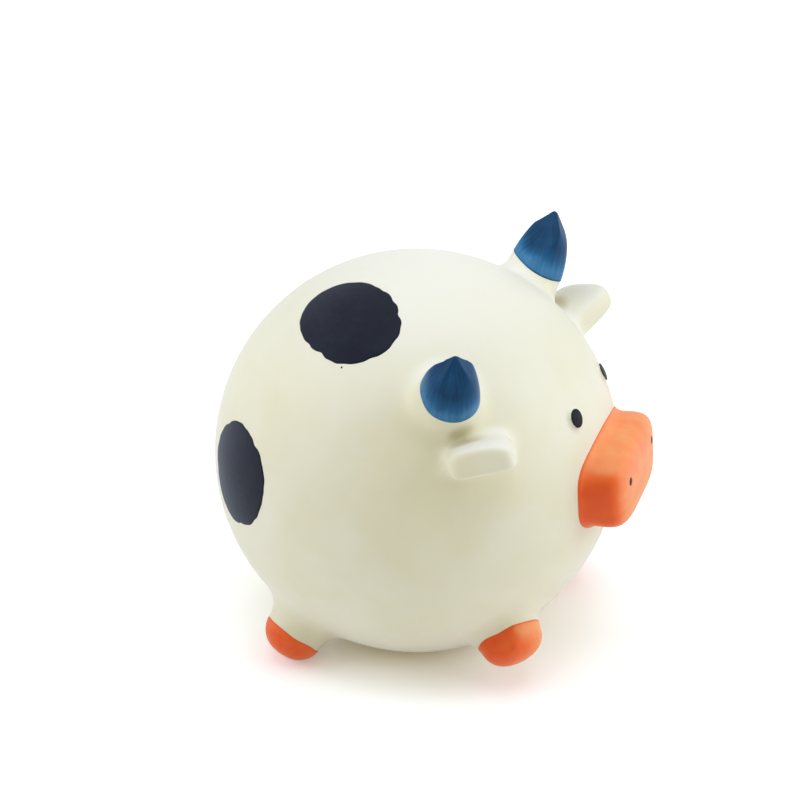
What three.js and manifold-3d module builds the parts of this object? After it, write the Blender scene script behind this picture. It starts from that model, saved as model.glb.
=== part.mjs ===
// A squeaky dog toy: a hollow latex ball moulded as a round cow, with stub legs, paddle ears and curved horns.
// Coats of latex paint cover the horns, muzzle, hooves, eyes, nostrils and patches. Polyester fibre fills the
// ball, and a plastic squeaker is plugged into the belly.
// Millimetres, +Z up, nose towards -Y. The toy rests on z = 0, on its belly flat and its two rear soles.

import * as THREE from "three";
import { mergeVertices } from "three/addons/utils/BufferGeometryUtils.js";
import Module from "manifold-3d";

const wasm = await Module();
wasm.setup();

// Moulded body
const BALL_RADIUS = 35;
const WALL = 1.6;
const BELLY_FLAT_RADIUS = 14;
const BELLY_WALL = 2.2;

// Paint, and the clearance between neighbouring pieces
const COAT = 0.4;
const COAT_PROUD = 0.15;
const GAP = 0.3;

// Muzzle: a rounded box, its sizes at the ball end
const MUZZLE_ELEVATION = 4.5;
const MUZZLE_WIDTH = 25.6;
const MUZZLE_HEIGHT = 14;
const MUZZLE_RISE = 5.1;
const MUZZLE_FILLET = 1.2;

// Horns: stubby cones that lean upwards and end in a hipped tip, painted down to a tilted line
const HORN_AZIMUTH = 61.8;
const HORN_ELEVATION = 41.2;
const HORN_WIDTH = 10.1;
const HORN_RISE = 13.5;
const HORN_LEAN = 4.4;
const HORN_FILLET = 2.8;
const HORN_PITCH = 48;
const HORN_BACK_PITCH = 66;
const HORN_BARE_HEIGHT = 3;
const HORN_PAINT_TILT = 11;

// Ears: thick arched paddles that curl back and down
const EAR_AZIMUTH = 53.7;
const EAR_ELEVATION = 27.4;
const EAR_ROLL = -9;
const EAR_WIDTH = 12.4;
const EAR_THICKNESS = 6;
const EAR_RISE = 7.9;
const EAR_ARCH = 1.8;
const EAR_CURL = 27;
const EAR_CURL_DIRECTION = -28;
const EAR_FILLET = 2;

// Legs: short stubs with rounded hooves
const FRONT_LEG_AZIMUTH = 38.5;
const FRONT_LEG_ELEVATION = -38.5;
const REAR_LEG_AZIMUTH = 124.6;
const REAR_LEG_ELEVATION = -45.9;
const LEG_WIDTH = 10.6;
const FRONT_LEG_RISE = 6.2;
const REAR_LEG_RISE = 7.4;
const LEG_FILLET = 3;
const FRONT_LEG_BARE_HEIGHT = 1.4;
const REAR_LEG_BARE_HEIGHT = 3.2;

// Eyes and nostrils
const EYE_AZIMUTH = 16.1;
const EYE_ELEVATION = 26.8;
const EYE_WIDTH = 2.4;
const EYE_HEIGHT = 3.1;
const EYE_RISE = 0.7;
const EYE_FILLET = 0.6;
const NOSTRIL_SPACING = 15;
const NOSTRIL_RISE = 1.9;
const NOSTRIL_WIDTH = 1;
const NOSTRIL_HEIGHT = 1.5;
const NOSTRIL_DEPTH = 1.4;

// Painted patches: mean radii of the wavy outlines
const BACK_PATCH_RADIUS = 9;
const RUMP_PATCH_RADIUS = 8.9;
const FLANK_PATCH_RADIUS = 9.2;
const HAUNCH_PATCH_RADIUS = 8;

// Squeaker, plugged into a collar inside the belly
const COLLAR_WALL = 3.8;
const COLLAR_HEIGHT = 5.2;
const FLANGE_RADIUS = 7.5;
const FLANGE = 1.2;
const FLANGE_RISE = 0.5;
const FLANGE_BEVEL = 0.35;
const BARREL_RADIUS = 5.2;
const HOUSING_WALL = 1;
const HOUSING_HEIGHT = 13;
const HOUSING_BASE = 1.5;
const BARB = 1.1;
const BARB_HEIGHT = 1.8;
const SOUND_HOLE_RADIUS = 1.25;
const SLEEVE_HEIGHT = 2.5;
const SLEEVE_WALL = 0.6;
const BLOCK_LENGTH = 8.4;
const GROOVE_WIDTH = 2;
const GROOVE_DEPTH = 1.6;
const GROOVE_LENGTH = 6.8;
const REED_WIDTH = 3.4;
const REED_LENGTH = 7.6;
const REED_THICKNESS = 0.3;
const GUARD_EDGE = 0.9;
const GUARD_DOME = 1.3;
const GUARD_ROOF = 0.9;
const GUARD_SPIGOT = 1.5;
const GUARD_WALL = 0.8;
const GUARD_SLOT_WIDTH = 0.8;
const GUARD_SLOT_LENGTH = 4.2;
const GUARD_SLOT_PITCH = 1.8;
const GUARD_SLOTS = 3;

// How far a cutting solid runs past what it cuts
const OVERRUN = 4;

const BALL_DETAIL = 7;
const CAVITY_DETAIL = 4;
const ROUND_SIDES = 22;
const OUTLINE_POINTS = 18;
const degrees = THREE.MathUtils.degToRad;

// The ball's centre stands this high, because the belly is cut flat.
const CENTRE_HEIGHT = Math.sqrt(BALL_RADIUS ** 2 - BELLY_FLAT_RADIUS ** 2);
const CORE_INSET = COAT - COAT_PROUD + GAP;

// A closed three.js geometry as a solid that can be joined and cut.
function solid(geometry) {
  const bare = geometry.clone();
  bare.deleteAttribute("normal");
  bare.deleteAttribute("uv");
  const merged = mergeVertices(bare, GAP / 1000);
  return new wasm.Manifold(
    new wasm.Mesh({
      numProp: 3,
      vertProperties: merged.attributes.position.array,
      triVerts: new Uint32Array(merged.index.array),
    }),
  );
}

function geometryOf(body) {
  const mesh = body.getMesh();
  const geometry = new THREE.BufferGeometry();
  geometry.setAttribute("position", new THREE.BufferAttribute(mesh.vertProperties, mesh.numProp));
  geometry.setIndex(new THREE.BufferAttribute(mesh.triVerts, 1));
  geometry.computeVertexNormals();
  return geometry;
}

// Closes a row of rings, all with the same number of points, between two end points.
function loft(rings, first, last) {
  const sides = rings[0].length;
  const points = [first, ...rings.flat(), last];
  const at = (ring, side) => 1 + ring * sides + (side % sides);
  const faces = [];
  for (let side = 0; side < sides; side += 1) {
    faces.push(0, at(0, side + 1), at(0, side));
    faces.push(points.length - 1, at(rings.length - 1, side), at(rings.length - 1, side + 1));
    for (let ring = 0; ring + 1 < rings.length; ring += 1) {
      faces.push(at(ring, side), at(ring, side + 1), at(ring + 1, side));
      faces.push(at(ring, side + 1), at(ring + 1, side + 1), at(ring + 1, side));
    }
  }
  return new THREE.BufferGeometry().setFromPoints(points).setIndex(faces);
}

// A frame at the ball's centre: Z runs out through the skin, Y is the way up along the skin until it is rolled.
// Azimuth turns from the nose towards the toy's left, and elevation rises from level.
function aim(azimuth, elevation, roll = 0) {
  const a = degrees(azimuth);
  const e = degrees(elevation);
  const out = new THREE.Vector3(Math.sin(a) * Math.cos(e), -Math.cos(a) * Math.cos(e), Math.sin(e));
  const up = new THREE.Vector3(0, 0, 1).addScaledVector(out, -out.z).normalize();
  const across = new THREE.Vector3().crossVectors(up, out);
  const level = new THREE.Matrix4().makeBasis(across, up, out);
  return level.multiply(new THREE.Matrix4().makeRotationZ(degrees(roll)));
}

// The same geometry on the toy's right side.
function mirrored(geometry) {
  const other = geometry.clone().applyMatrix4(new THREE.Matrix4().makeScale(-1, 1, 1));
  const index = Array.from(other.index.array);
  for (let face = 0; face < index.length; face += 3) {
    [index[face], index[face + 1]] = [index[face + 1], index[face]];
  }
  return other.setIndex(index);
}

function ball(radius, detail = BALL_DETAIL) {
  return solid(new THREE.IcosahedronGeometry(radius, detail));
}

// Everything beyond a plane across a limb, at a distance from the ball's centre. A tilt lowers its upper side.
function beyond(shape, distance) {
  const size = 4 * BALL_RADIUS;
  const block = new THREE.BoxGeometry(size, size, size).translate(0, 0, size / 2);
  block.rotateX(-degrees(shape.paintTilt)).translate(0, 0, distance);
  return block.applyMatrix4(shape.frame);
}

// Everything lower than a height above the floor.
function below(height) {
  const size = 4 * BALL_RADIUS;
  const block = new THREE.BoxGeometry(size, size, size);
  return solid(block.translate(0, 0, height - CENTRE_HEIGHT - size / 2));
}

// Carries a point of a limb along the arc that the limb curls on, from the ball's surface outwards.
function curled(point, shape) {
  if (!shape.curl || point.z < BALL_RADIUS) return point;
  const radius = shape.rise / degrees(shape.curl);
  const turn = (point.z - BALL_RADIUS) / radius;
  const axis = new THREE.Vector3(0, 0, 1);
  point.applyAxisAngle(axis, -degrees(shape.curlDirection));
  const arm = radius - point.x;
  point.set(radius - arm * Math.cos(turn), point.y, BALL_RADIUS + arm * Math.sin(turn));
  return point.applyAxisAngle(axis, degrees(shape.curlDirection));
}

// A limb of the moulding, closed, about +Z from the ball's centre. Its section is a superellipse. It leaves the
// ball in a hollow fillet, tangent to both, and closes in a rounded nose. The offset grows the whole skin,
// so that coats, cores and hollows run parallel to it.
function limb(shape, offset) {
  const sphere = BALL_RADIUS + offset;
  const fillet = shape.fillet - offset;
  const top = sphere + shape.rise;
  const columns = [];
  for (let side = 0; side < shape.sides; side += 1) {
    const angle = (2 * Math.PI * side) / shape.sides;
    const across = Math.abs(Math.cos(angle) / (shape.width / 2 + offset));
    const upright = Math.abs(Math.sin(angle) / (shape.depth / 2 + offset));
    const half = (across ** shape.corner + upright ** shape.corner) ** (-1 / shape.corner);
    const centre = new THREE.Vector2(half + fillet, 0);
    centre.y = Math.sqrt((sphere + fillet) ** 2 - centre.x ** 2);
    const foot = centre.clone().multiplyScalar(sphere / (sphere + fillet));
    const profile = [foot.clone().multiplyScalar(1 - shape.buriedShare)];
    const start = Math.atan2(-centre.y, -centre.x);
    for (let step = 0; step <= shape.filletSteps; step += 1) {
      const turn = start + ((-Math.PI - start) * step) / shape.filletSteps;
      profile.push(new THREE.Vector2(Math.cos(turn), Math.sin(turn)).multiplyScalar(fillet).add(centre));
    }
    for (let step = 1; step < shape.noseSteps; step += 1) {
      const turn = (Math.PI / 2) * (step / shape.noseSteps);
      const rise = Math.sin(turn) ** (2 / shape.nose);
      const spread = Math.cos(turn) ** (2 / shape.nose) * (1 - shape.taperShare * rise);
      profile.push(new THREE.Vector2(half * spread, centre.y + (top - centre.y) * rise));
    }
    columns.push(profile.map((p) => new THREE.Vector3(p.x * Math.cos(angle), p.x * Math.sin(angle), p.y)));
  }
  const hip = (pitch, reach) =>
    BALL_RADIUS + shape.rise + offset / Math.cos(degrees(pitch)) - Math.tan(degrees(pitch)) * reach;
  const bent = (point) => {
    if (shape.pitch) {
      const front = hip(shape.pitch, Math.max(Math.abs(point.x), -point.y));
      point.z = Math.min(point.z, front, hip(shape.backPitch, point.y));
    }
    const climb = Math.max(0, (point.z - BALL_RADIUS) / shape.rise);
    point.y += shape.lean * climb ** 2 - shape.arch * climb * (point.x / (shape.width / 2)) ** 2;
    return curled(point, shape);
  };
  const rings = columns[0].map((_, ring) => columns.map((column) => bent(column[ring].clone())));
  const root = new THREE.Vector3(0, 0, sphere * (1 - 2 * shape.buriedShare));
  const tip = bent(new THREE.Vector3(0, 0, top));
  return loft(rings, root, tip);
}

const plain = {
  corner: 2,
  nose: 2,
  taperShare: 0,
  lean: 0,
  arch: 0,
  paintTilt: 0,
  buriedShare: 0.06,
  filletSteps: 3,
};

const muzzle = {
  ...plain,
  width: MUZZLE_WIDTH,
  depth: MUZZLE_HEIGHT,
  corner: 3.6,
  rise: MUZZLE_RISE,
  nose: 5,
  taperShare: 0.04,
  fillet: MUZZLE_FILLET,
  sides: 24,
  noseSteps: 5,
  frame: aim(0, MUZZLE_ELEVATION),
};

const horn = {
  ...plain,
  width: HORN_WIDTH,
  depth: HORN_WIDTH,
  rise: HORN_RISE,
  taperShare: 0.12,
  lean: HORN_LEAN,
  pitch: HORN_PITCH,
  backPitch: HORN_BACK_PITCH,
  paintTilt: HORN_PAINT_TILT,
  fillet: HORN_FILLET,
  sides: 14,
  noseSteps: 6,
  frame: aim(HORN_AZIMUTH, HORN_ELEVATION),
};

const ear = {
  ...plain,
  width: EAR_WIDTH,
  depth: EAR_THICKNESS,
  corner: 3,
  rise: EAR_RISE,
  nose: 5,
  arch: EAR_ARCH,
  curl: EAR_CURL,
  curlDirection: EAR_CURL_DIRECTION,
  fillet: EAR_FILLET,
  sides: 16,
  noseSteps: 6,
  frame: aim(EAR_AZIMUTH, EAR_ELEVATION, EAR_ROLL),
};

const leg = {
  ...plain,
  width: LEG_WIDTH,
  depth: LEG_WIDTH,
  nose: 2.3,
  fillet: LEG_FILLET,
  sides: 14,
  noseSteps: 4,
};
const frontLeg = { ...leg, rise: FRONT_LEG_RISE, frame: aim(FRONT_LEG_AZIMUTH, FRONT_LEG_ELEVATION) };
const rearLeg = { ...leg, rise: REAR_LEG_RISE, frame: aim(REAR_LEG_AZIMUTH, REAR_LEG_ELEVATION) };

// Hollows inside the limbs are plainer than their outsides.
const coarse = { sides: 8, noseSteps: 2, filletSteps: 1 };

const eye = {
  ...plain,
  width: EYE_WIDTH,
  depth: EYE_HEIGHT,
  rise: EYE_RISE,
  fillet: EYE_FILLET,
  sides: 10,
  noseSteps: 3,
  filletSteps: 2,
  frame: aim(EYE_AZIMUTH, EYE_ELEVATION),
};

// The solid of a limb at an offset, in place on the toy's left or right side, cut level where it meets the floor.
function placed(shape, offset, side = 1) {
  const geometry = limb(shape, offset).applyMatrix4(shape.frame);
  const form = solid(side > 0 ? geometry : mirrored(geometry));
  return form.subtract(below(COAT_PROUD - offset));
}

function region(shape, distance, side) {
  const block = beyond(shape, distance);
  return solid(side > 0 ? block : mirrored(block));
}

// The layer of paint on a form that is given by its offset.
function layer(form) {
  return form(COAT_PROUD).subtract(form(COAT_PROUD - COAT));
}

// A limb painted past a line: bare latex up to it, and from there the thinner core that the coat covers.
function paintedLimb(shape, bareHeight, side) {
  const paintLine = BALL_RADIUS + bareHeight;
  const form = (offset) => placed(shape, offset, side);
  const bare = form(0).subtract(region(shape, paintLine - GAP, side));
  return {
    latex: bare.add(form(-CORE_INSET)),
    coat: layer(form).intersect(region(shape, paintLine, side)),
  };
}

// A bump of the skin that is painted down to the crease with the ball.
function paintedBump(shape, side) {
  const form = (offset) => placed(shape, offset, side);
  return {
    latex: form(-CORE_INSET),
    coat: layer(form).subtract(ball(BALL_RADIUS + GAP)),
  };
}

// A column through the skin whose outline is a smooth wavy round. The shares of its radius run anticlockwise.
function column(patch, growth) {
  const points = patch.radiusShares.map((share, index) => {
    const angle = (2 * Math.PI * index) / patch.radiusShares.length;
    const radius = patch.radius * share + growth;
    return new THREE.Vector3(radius * Math.cos(angle), radius * Math.sin(angle), 0);
  });
  const outline = new THREE.CatmullRomCurve3(points, true).getSpacedPoints(OUTLINE_POINTS).slice(0, -1);
  const shape = new THREE.Shape(outline.map((p) => new THREE.Vector2(p.x, p.y)));
  const geometry = new THREE.ExtrudeGeometry(shape, { depth: BALL_RADIUS, bevelEnabled: false });
  return solid(geometry.translate(0, 0, BALL_RADIUS / 2).applyMatrix4(patch.frame));
}

function paintedPatch(patch) {
  return {
    recess: column(patch, GAP).subtract(ball(BALL_RADIUS - CORE_INSET)),
    coat: layer((offset) => ball(BALL_RADIUS + offset)).intersect(column(patch, 0)),
  };
}

// A turned solid from points of radius and height.
function turned(profile) {
  const points = profile.map(([radius, height]) => new THREE.Vector2(radius, height));
  return solid(new THREE.LatheGeometry(points, ROUND_SIDES).rotateX(Math.PI / 2));
}

function disc(radius, low, high) {
  return turned([[0, low], [radius, low], [radius, high], [0, high]]);
}

function block(width, depth, height, x, y, z) {
  return solid(new THREE.BoxGeometry(width, depth, height).translate(x, y, z));
}

const root = new THREE.Group();
const centre = new THREE.Group();
const belly = new THREE.Group();
centre.position.z = CENTRE_HEIGHT;
root.add(centre, belly);

function finish(color, roughness, metalness = 0) {
  return new THREE.MeshStandardMaterial({ color, roughness, metalness });
}

function addNode(group, name, body, material) {
  const mesh = new THREE.Mesh(geometryOf(body), material);
  mesh.name = name;
  group.add(mesh);
}

// Skin outside, with the coats on its limbs
const hands = [
  { name: "left", side: 1 },
  { name: "right", side: -1 },
];
let skin = ball(BALL_RADIUS).subtract(below(0));
let cavity = ball(BALL_RADIUS - WALL, CAVITY_DETAIL);
const hollowInset = CORE_INSET + WALL;
for (const { name, side } of hands) {
  const coats = [
    [name + "_horn_paint", paintedLimb(horn, HORN_BARE_HEIGHT, side), finish("#2c5f8a", 0.55)],
    ["front_" + name + "_hoof_paint", paintedLimb(frontLeg, FRONT_LEG_BARE_HEIGHT, side), finish("#f47a40", 0.6)],
    ["rear_" + name + "_hoof_paint", paintedLimb(rearLeg, REAR_LEG_BARE_HEIGHT, side), finish("#f47a40", 0.6)],
    [name + "_eye_paint", paintedBump(eye, side), finish("#2e2e38", 0.4)],
  ];
  for (const [node, { latex, coat }, material] of coats) {
    skin = skin.add(latex);
    addNode(centre, node, coat, material);
  }
  skin = skin.add(placed(ear, 0, side));
  for (const shape of [frontLeg, rearLeg]) {
    cavity = cavity.add(placed({ ...shape, ...coarse }, -hollowInset, side));
  }
}

// Muzzle, with a nostril pit and its paint on each side
const snout = paintedBump(muzzle, 1);
const muzzleFront = BALL_RADIUS + MUZZLE_RISE;
cavity = cavity.add(placed({ ...muzzle, ...coarse, sides: 16 }, -hollowInset));
let muzzleLatex = snout.latex;
let muzzleCoat = snout.coat;
for (const { name, side } of hands) {
  const dot = (growth, low, high) => {
    const stub = new THREE.CylinderGeometry(1, 1, high - low, ROUND_SIDES / 2).rotateX(Math.PI / 2);
    stub.scale(NOSTRIL_WIDTH / 2 + growth, NOSTRIL_HEIGHT / 2 + growth, 1);
    stub.translate((side * NOSTRIL_SPACING) / 2, NOSTRIL_RISE, (low + high) / 2);
    return solid(stub.applyMatrix4(muzzle.frame));
  };
  const pit = dot(GAP, muzzleFront - NOSTRIL_DEPTH, muzzleFront + OVERRUN);
  muzzleLatex = muzzleLatex.subtract(pit);
  muzzleCoat = muzzleCoat.subtract(pit);
  const plug = dot(0, muzzleFront - NOSTRIL_DEPTH + GAP, muzzleFront);
  addNode(centre, name + "_nostril_paint", plug, finish("#3a2a2a", 0.5));
}
skin = skin.add(muzzleLatex);
addNode(centre, "muzzle_paint", muzzleCoat, finish("#f98b55", 0.6));

// Painted patches on the back and flanks
const patches = [
  {
    name: "back_patch",
    radius: BACK_PATCH_RADIUS,
    frame: aim(-117, 62.6),
    radiusShares: [1.12, 1, 0.89, 0.88, 0.98, 1.13, 1.17, 1.01, 0.87, 0.86, 0.98, 1.09],
  },
  {
    name: "right_rump_patch",
    radius: RUMP_PATCH_RADIUS,
    frame: aim(-133, 7.7),
    radiusShares: [0.97, 0.99, 0.95, 0.96, 0.99, 1.03, 1.06, 1.02, 1.07, 1.03, 0.98, 0.97],
  },
  {
    name: "left_flank_patch",
    radius: FLANK_PATCH_RADIUS,
    frame: aim(104, 12),
    radiusShares: [1.1, 1.02, 0.92, 0.9, 0.97, 1.08, 1.12, 1, 0.9, 0.88, 0.96, 1.06],
  },
  {
    name: "left_haunch_patch",
    radius: HAUNCH_PATCH_RADIUS,
    frame: aim(152, 36),
    radiusShares: [1, 1.04, 1.08, 1.02, 0.95, 0.92, 0.96, 1.02, 1.05, 1, 0.94, 0.95],
  },
];
for (const patch of patches) {
  const { recess, coat } = paintedPatch(patch);
  skin = skin.subtract(recess);
  addNode(centre, patch.name, coat, finish("#2b2e3b", 0.5));
}

// Skin inside: the hollow, the collar that grips the squeaker, and the hole it is pushed through
const toCentre = (form) => form.translate([0, 0, -CENTRE_HEIGHT]);
const barrelHole = BARREL_RADIUS + GAP;
const collarRadius = barrelHole + COLLAR_WALL;
const recessHeight = FLANGE_RISE + FLANGE + GAP;
skin = skin.subtract(cavity.subtract(below(BELLY_WALL)));
skin = skin.add(toCentre(disc(collarRadius, FLANGE_RISE, COLLAR_HEIGHT)));
skin = skin.subtract(toCentre(disc(barrelHole, -OVERRUN, COLLAR_HEIGHT + OVERRUN)));
skin = skin.subtract(toCentre(disc(FLANGE_RADIUS + GAP, -OVERRUN, recessHeight)));
addNode(centre, "latex_skin", skin, finish("#f4f1e4", 0.65));

// Squeaker housing: flange, barrel and the barb that snaps past the collar
const flangeTop = FLANGE_RISE + FLANGE;
const housingTop = FLANGE_RISE + HOUSING_HEIGHT;
const boreFloor = FLANGE_RISE + HOUSING_BASE;
const boreRadius = BARREL_RADIUS - HOUSING_WALL;
const barbFoot = COLLAR_HEIGHT + GAP;
const housing = turned([
  [SOUND_HOLE_RADIUS, FLANGE_RISE],
  [FLANGE_RADIUS - FLANGE_BEVEL, FLANGE_RISE],
  [FLANGE_RADIUS, FLANGE_RISE + FLANGE_BEVEL],
  [FLANGE_RADIUS, flangeTop],
  [BARREL_RADIUS, flangeTop],
  [BARREL_RADIUS, barbFoot],
  [BARREL_RADIUS + BARB, barbFoot],
  [BARREL_RADIUS, barbFoot + BARB_HEIGHT],
  [BARREL_RADIUS, housingTop],
  [boreRadius, housingTop],
  [boreRadius, boreFloor],
  [SOUND_HOLE_RADIUS, boreFloor],
  [SOUND_HOLE_RADIUS, FLANGE_RISE],
]);
addNode(belly, "squeaker_housing", housing, finish("#f2f2ee", 0.35));

// Reed block: half round, with an air groove down its flat face
const sleeveRadius = boreRadius - GAP;
const seatRadius = sleeveRadius - SLEEVE_WALL;
const blockRadius = seatRadius - GAP;
const insertFloor = boreFloor + GAP;
const half = disc(blockRadius, insertFloor, insertFloor + BLOCK_LENGTH);
const front = block(OVERRUN, 4 * blockRadius, 4 * BLOCK_LENGTH, OVERRUN / 2, 0, insertFloor);
const groove = block(
  GROOVE_DEPTH,
  GROOVE_WIDTH,
  GROOVE_LENGTH + OVERRUN,
  -GROOVE_DEPTH / 2,
  0,
  insertFloor + (GROOVE_LENGTH - OVERRUN) / 2,
);
addNode(belly, "reed_block", half.subtract(front).subtract(groove), finish("#e9e6da", 0.4));

// Reed: a thin strip with a rounded free end, standing in front of the groove
const strip = new THREE.Shape();
const reedFoot = insertFloor + GAP;
const reedShoulder = reedFoot + REED_LENGTH - REED_WIDTH / 2;
strip.moveTo(-REED_WIDTH / 2, reedFoot);
strip.lineTo(REED_WIDTH / 2, reedFoot);
strip.absarc(0, reedShoulder, REED_WIDTH / 2, 0, Math.PI);
const reed = new THREE.ExtrudeGeometry(strip, { depth: REED_THICKNESS, bevelEnabled: false, curveSegments: 10 });
reed.rotateX(Math.PI / 2).rotateZ(Math.PI / 2).translate(GAP, 0, 0);
addNode(belly, "reed", solid(reed), finish("#c9d2d6", 0.25));

// Reed sleeve: presses the reed against the block's foot
const slotFront = GAP + REED_THICKNESS + GAP;
const ring = disc(sleeveRadius, insertFloor, insertFloor + SLEEVE_HEIGHT);
const seat = disc(seatRadius, -OVERRUN, 2 * COLLAR_HEIGHT);
const land = block(OVERRUN, 4 * seatRadius, 4 * COLLAR_HEIGHT, GAP + OVERRUN / 2, 0, 0);
const slot = block(slotFront, REED_WIDTH + 2 * GAP, 4 * COLLAR_HEIGHT, slotFront / 2, 0, 0);
addNode(belly, "reed_sleeve", ring.subtract(seat.subtract(land)).subtract(slot), finish("#b9c4c9", 0.4));

// Fibre guard: a slotted dome that keeps the filling out of the bore
const guardFoot = housingTop + GAP;
const guardRadius = BARREL_RADIUS;
const dome = [];
const domeSteps = 4;
for (let step = 0; step <= domeSteps; step += 1) {
  const turn = (Math.PI / 2) * (step / domeSteps);
  dome.push([guardRadius * Math.cos(turn), guardFoot + GUARD_EDGE + GUARD_DOME * Math.sin(turn)]);
}
dome[domeSteps][0] = 0;
let guard = turned([
  [0, guardFoot + GUARD_EDGE + GUARD_DOME - GUARD_ROOF],
  [sleeveRadius - GUARD_WALL, guardFoot + GUARD_EDGE + GUARD_DOME - GUARD_ROOF],
  [sleeveRadius - GUARD_WALL, guardFoot - GUARD_SPIGOT],
  [sleeveRadius, guardFoot - GUARD_SPIGOT],
  [sleeveRadius, guardFoot],
  [guardRadius, guardFoot],
  ...dome,
]);
for (let index = 0; index < GUARD_SLOTS; index += 1) {
  const y = (index - (GUARD_SLOTS - 1) / 2) * GUARD_SLOT_PITCH;
  guard = guard.subtract(block(GUARD_SLOT_LENGTH, GUARD_SLOT_WIDTH, 4 * OVERRUN, 0, y, guardFoot));
}
addNode(belly, "fibre_guard", guard, finish("#e9e6da", 0.4));

// Fibre filling: the cavity's shape, with a pocket for the collar and the squeaker
const pocket = turned([
  [0, -OVERRUN],
  [collarRadius + GAP, -OVERRUN],
  [collarRadius + GAP, COLLAR_HEIGHT + GAP],
  [BARREL_RADIUS + BARB + GAP, COLLAR_HEIGHT + GAP],
  [BARREL_RADIUS + BARB + GAP, barbFoot + BARB_HEIGHT],
  [barrelHole, barbFoot + BARB_HEIGHT + BARB],
  [barrelHole, guardFoot + GUARD_EDGE],
  [barrelHole - GUARD_DOME, guardFoot + GUARD_EDGE + GUARD_DOME + GAP],
  [0, guardFoot + GUARD_EDGE + GUARD_DOME + GAP],
]);
const filling = ball(BALL_RADIUS - WALL - GAP, CAVITY_DETAIL).subtract(below(BELLY_WALL + GAP));
addNode(centre, "fibre_filling", filling.subtract(toCentre(pocket)), finish("#fbfaf5", 0.95));

// The middle of the toy's length stands over the origin.
const extent = new THREE.Box3().setFromObject(root, true);
root.children.forEach((group) => group.translateY(-(extent.min.y + extent.max.y) / 2));

export default root;
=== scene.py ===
# %% [markdown]
# A squeaky dog toy: a round cow, moulded in one piece of latex and painted by hand, with loose fibre and a
# squeaker inside. A model like this could be sculpted freely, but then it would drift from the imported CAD
# model. So the CAD model comes in first as a fixed frame, in metres, and every piece here is worked out from
# the toy's sizes in millimetres. The ball is the rearmost thing on the toy, so its centre lies one radius in
# front of the rear face of the frame's box.

import math

import bmesh
import bpy
import numpy as np
from mathutils import Matrix, Vector


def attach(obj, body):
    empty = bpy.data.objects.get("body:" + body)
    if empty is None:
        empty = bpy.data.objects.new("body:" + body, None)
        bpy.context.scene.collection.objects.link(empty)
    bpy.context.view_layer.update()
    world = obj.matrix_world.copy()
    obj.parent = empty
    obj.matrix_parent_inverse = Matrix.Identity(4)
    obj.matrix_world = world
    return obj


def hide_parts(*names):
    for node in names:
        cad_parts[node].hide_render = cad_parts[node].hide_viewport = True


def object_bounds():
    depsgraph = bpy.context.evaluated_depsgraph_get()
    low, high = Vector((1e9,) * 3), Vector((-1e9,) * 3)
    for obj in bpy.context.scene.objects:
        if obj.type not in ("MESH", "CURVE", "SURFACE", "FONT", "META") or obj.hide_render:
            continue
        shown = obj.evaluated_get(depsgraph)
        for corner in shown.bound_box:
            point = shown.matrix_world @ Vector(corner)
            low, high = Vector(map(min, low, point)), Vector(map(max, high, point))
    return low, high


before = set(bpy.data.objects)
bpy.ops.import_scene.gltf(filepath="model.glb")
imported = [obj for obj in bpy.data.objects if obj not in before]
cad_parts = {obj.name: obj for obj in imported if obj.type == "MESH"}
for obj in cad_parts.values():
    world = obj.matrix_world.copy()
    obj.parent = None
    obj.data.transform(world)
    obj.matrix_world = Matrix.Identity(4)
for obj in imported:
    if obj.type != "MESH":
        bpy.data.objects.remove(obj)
cad_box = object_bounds()

MM = 0.001
BALL_RADIUS = 35.0
BELLY_FLAT_RADIUS = 14.0
CENTRE = np.array(
    [
        0.0,
        cad_box[1][1] / MM - BALL_RADIUS,
        math.sqrt(BALL_RADIUS**2 - BELLY_FLAT_RADIUS**2),
    ]
)
print("centre of the ball, mm:", CENTRE.round(2))

# %% [markdown]
# A camera can be placed by eye, or solved. Here the ball's outline and the pairs of eyes, nostrils and horns
# fix it: the camera stands at the toy's right front, 28 degrees above it and twelve ball radii away, and the
# ball's centre falls a little right of and below the middle of the picture. Directions from the toy are two
# angles everywhere in this file, so one function turns such a pair into a direction.

# %% Camera
CAMERA_AZIMUTH = -71.5
CAMERA_ELEVATION = 28.1
CAMERA_DISTANCE = 12 * BALL_RADIUS * MM
FOCAL_PIXELS = 2416
FRAME_PIXELS = 800
BALL_PIXEL = (416.8, 449.8)
SENSOR = 36.0


def outward(azimuth, elevation):
    """Direction from the toy, from two angles in degrees. Azimuth turns from the nose to the toy's left."""
    a, e = math.radians(azimuth), math.radians(elevation)
    return np.array([math.sin(a) * math.cos(e), -math.cos(a) * math.cos(e), math.sin(e)])


camera = bpy.data.objects.new("camera", bpy.data.cameras.new("camera"))
bpy.context.scene.collection.objects.link(camera)
bpy.context.scene.camera = camera
camera.data.sensor_width = SENSOR
camera.data.lens = SENSOR * FOCAL_PIXELS / FRAME_PIXELS
camera.data.clip_start = 0.01
back = Vector(outward(CAMERA_AZIMUTH, CAMERA_ELEVATION))
right = Vector(outward(CAMERA_AZIMUTH + 90, 0))
up = back.cross(right)
aside = (BALL_PIXEL[0] - FRAME_PIXELS / 2) / FOCAL_PIXELS
above = -(BALL_PIXEL[1] - FRAME_PIXELS / 2) / FOCAL_PIXELS
place = Vector(CENTRE * MM) + (back - right * aside - up * above) * CAMERA_DISTANCE
camera.matrix_world = Matrix(
    [
        (right.x, up.x, back.x, place.x),
        (right.y, up.y, back.y, place.y),
        (right.z, up.z, back.z, place.z),
        (0, 0, 0, 1),
    ]
)
print("camera at", [round(value, 4) for value in place])

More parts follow.
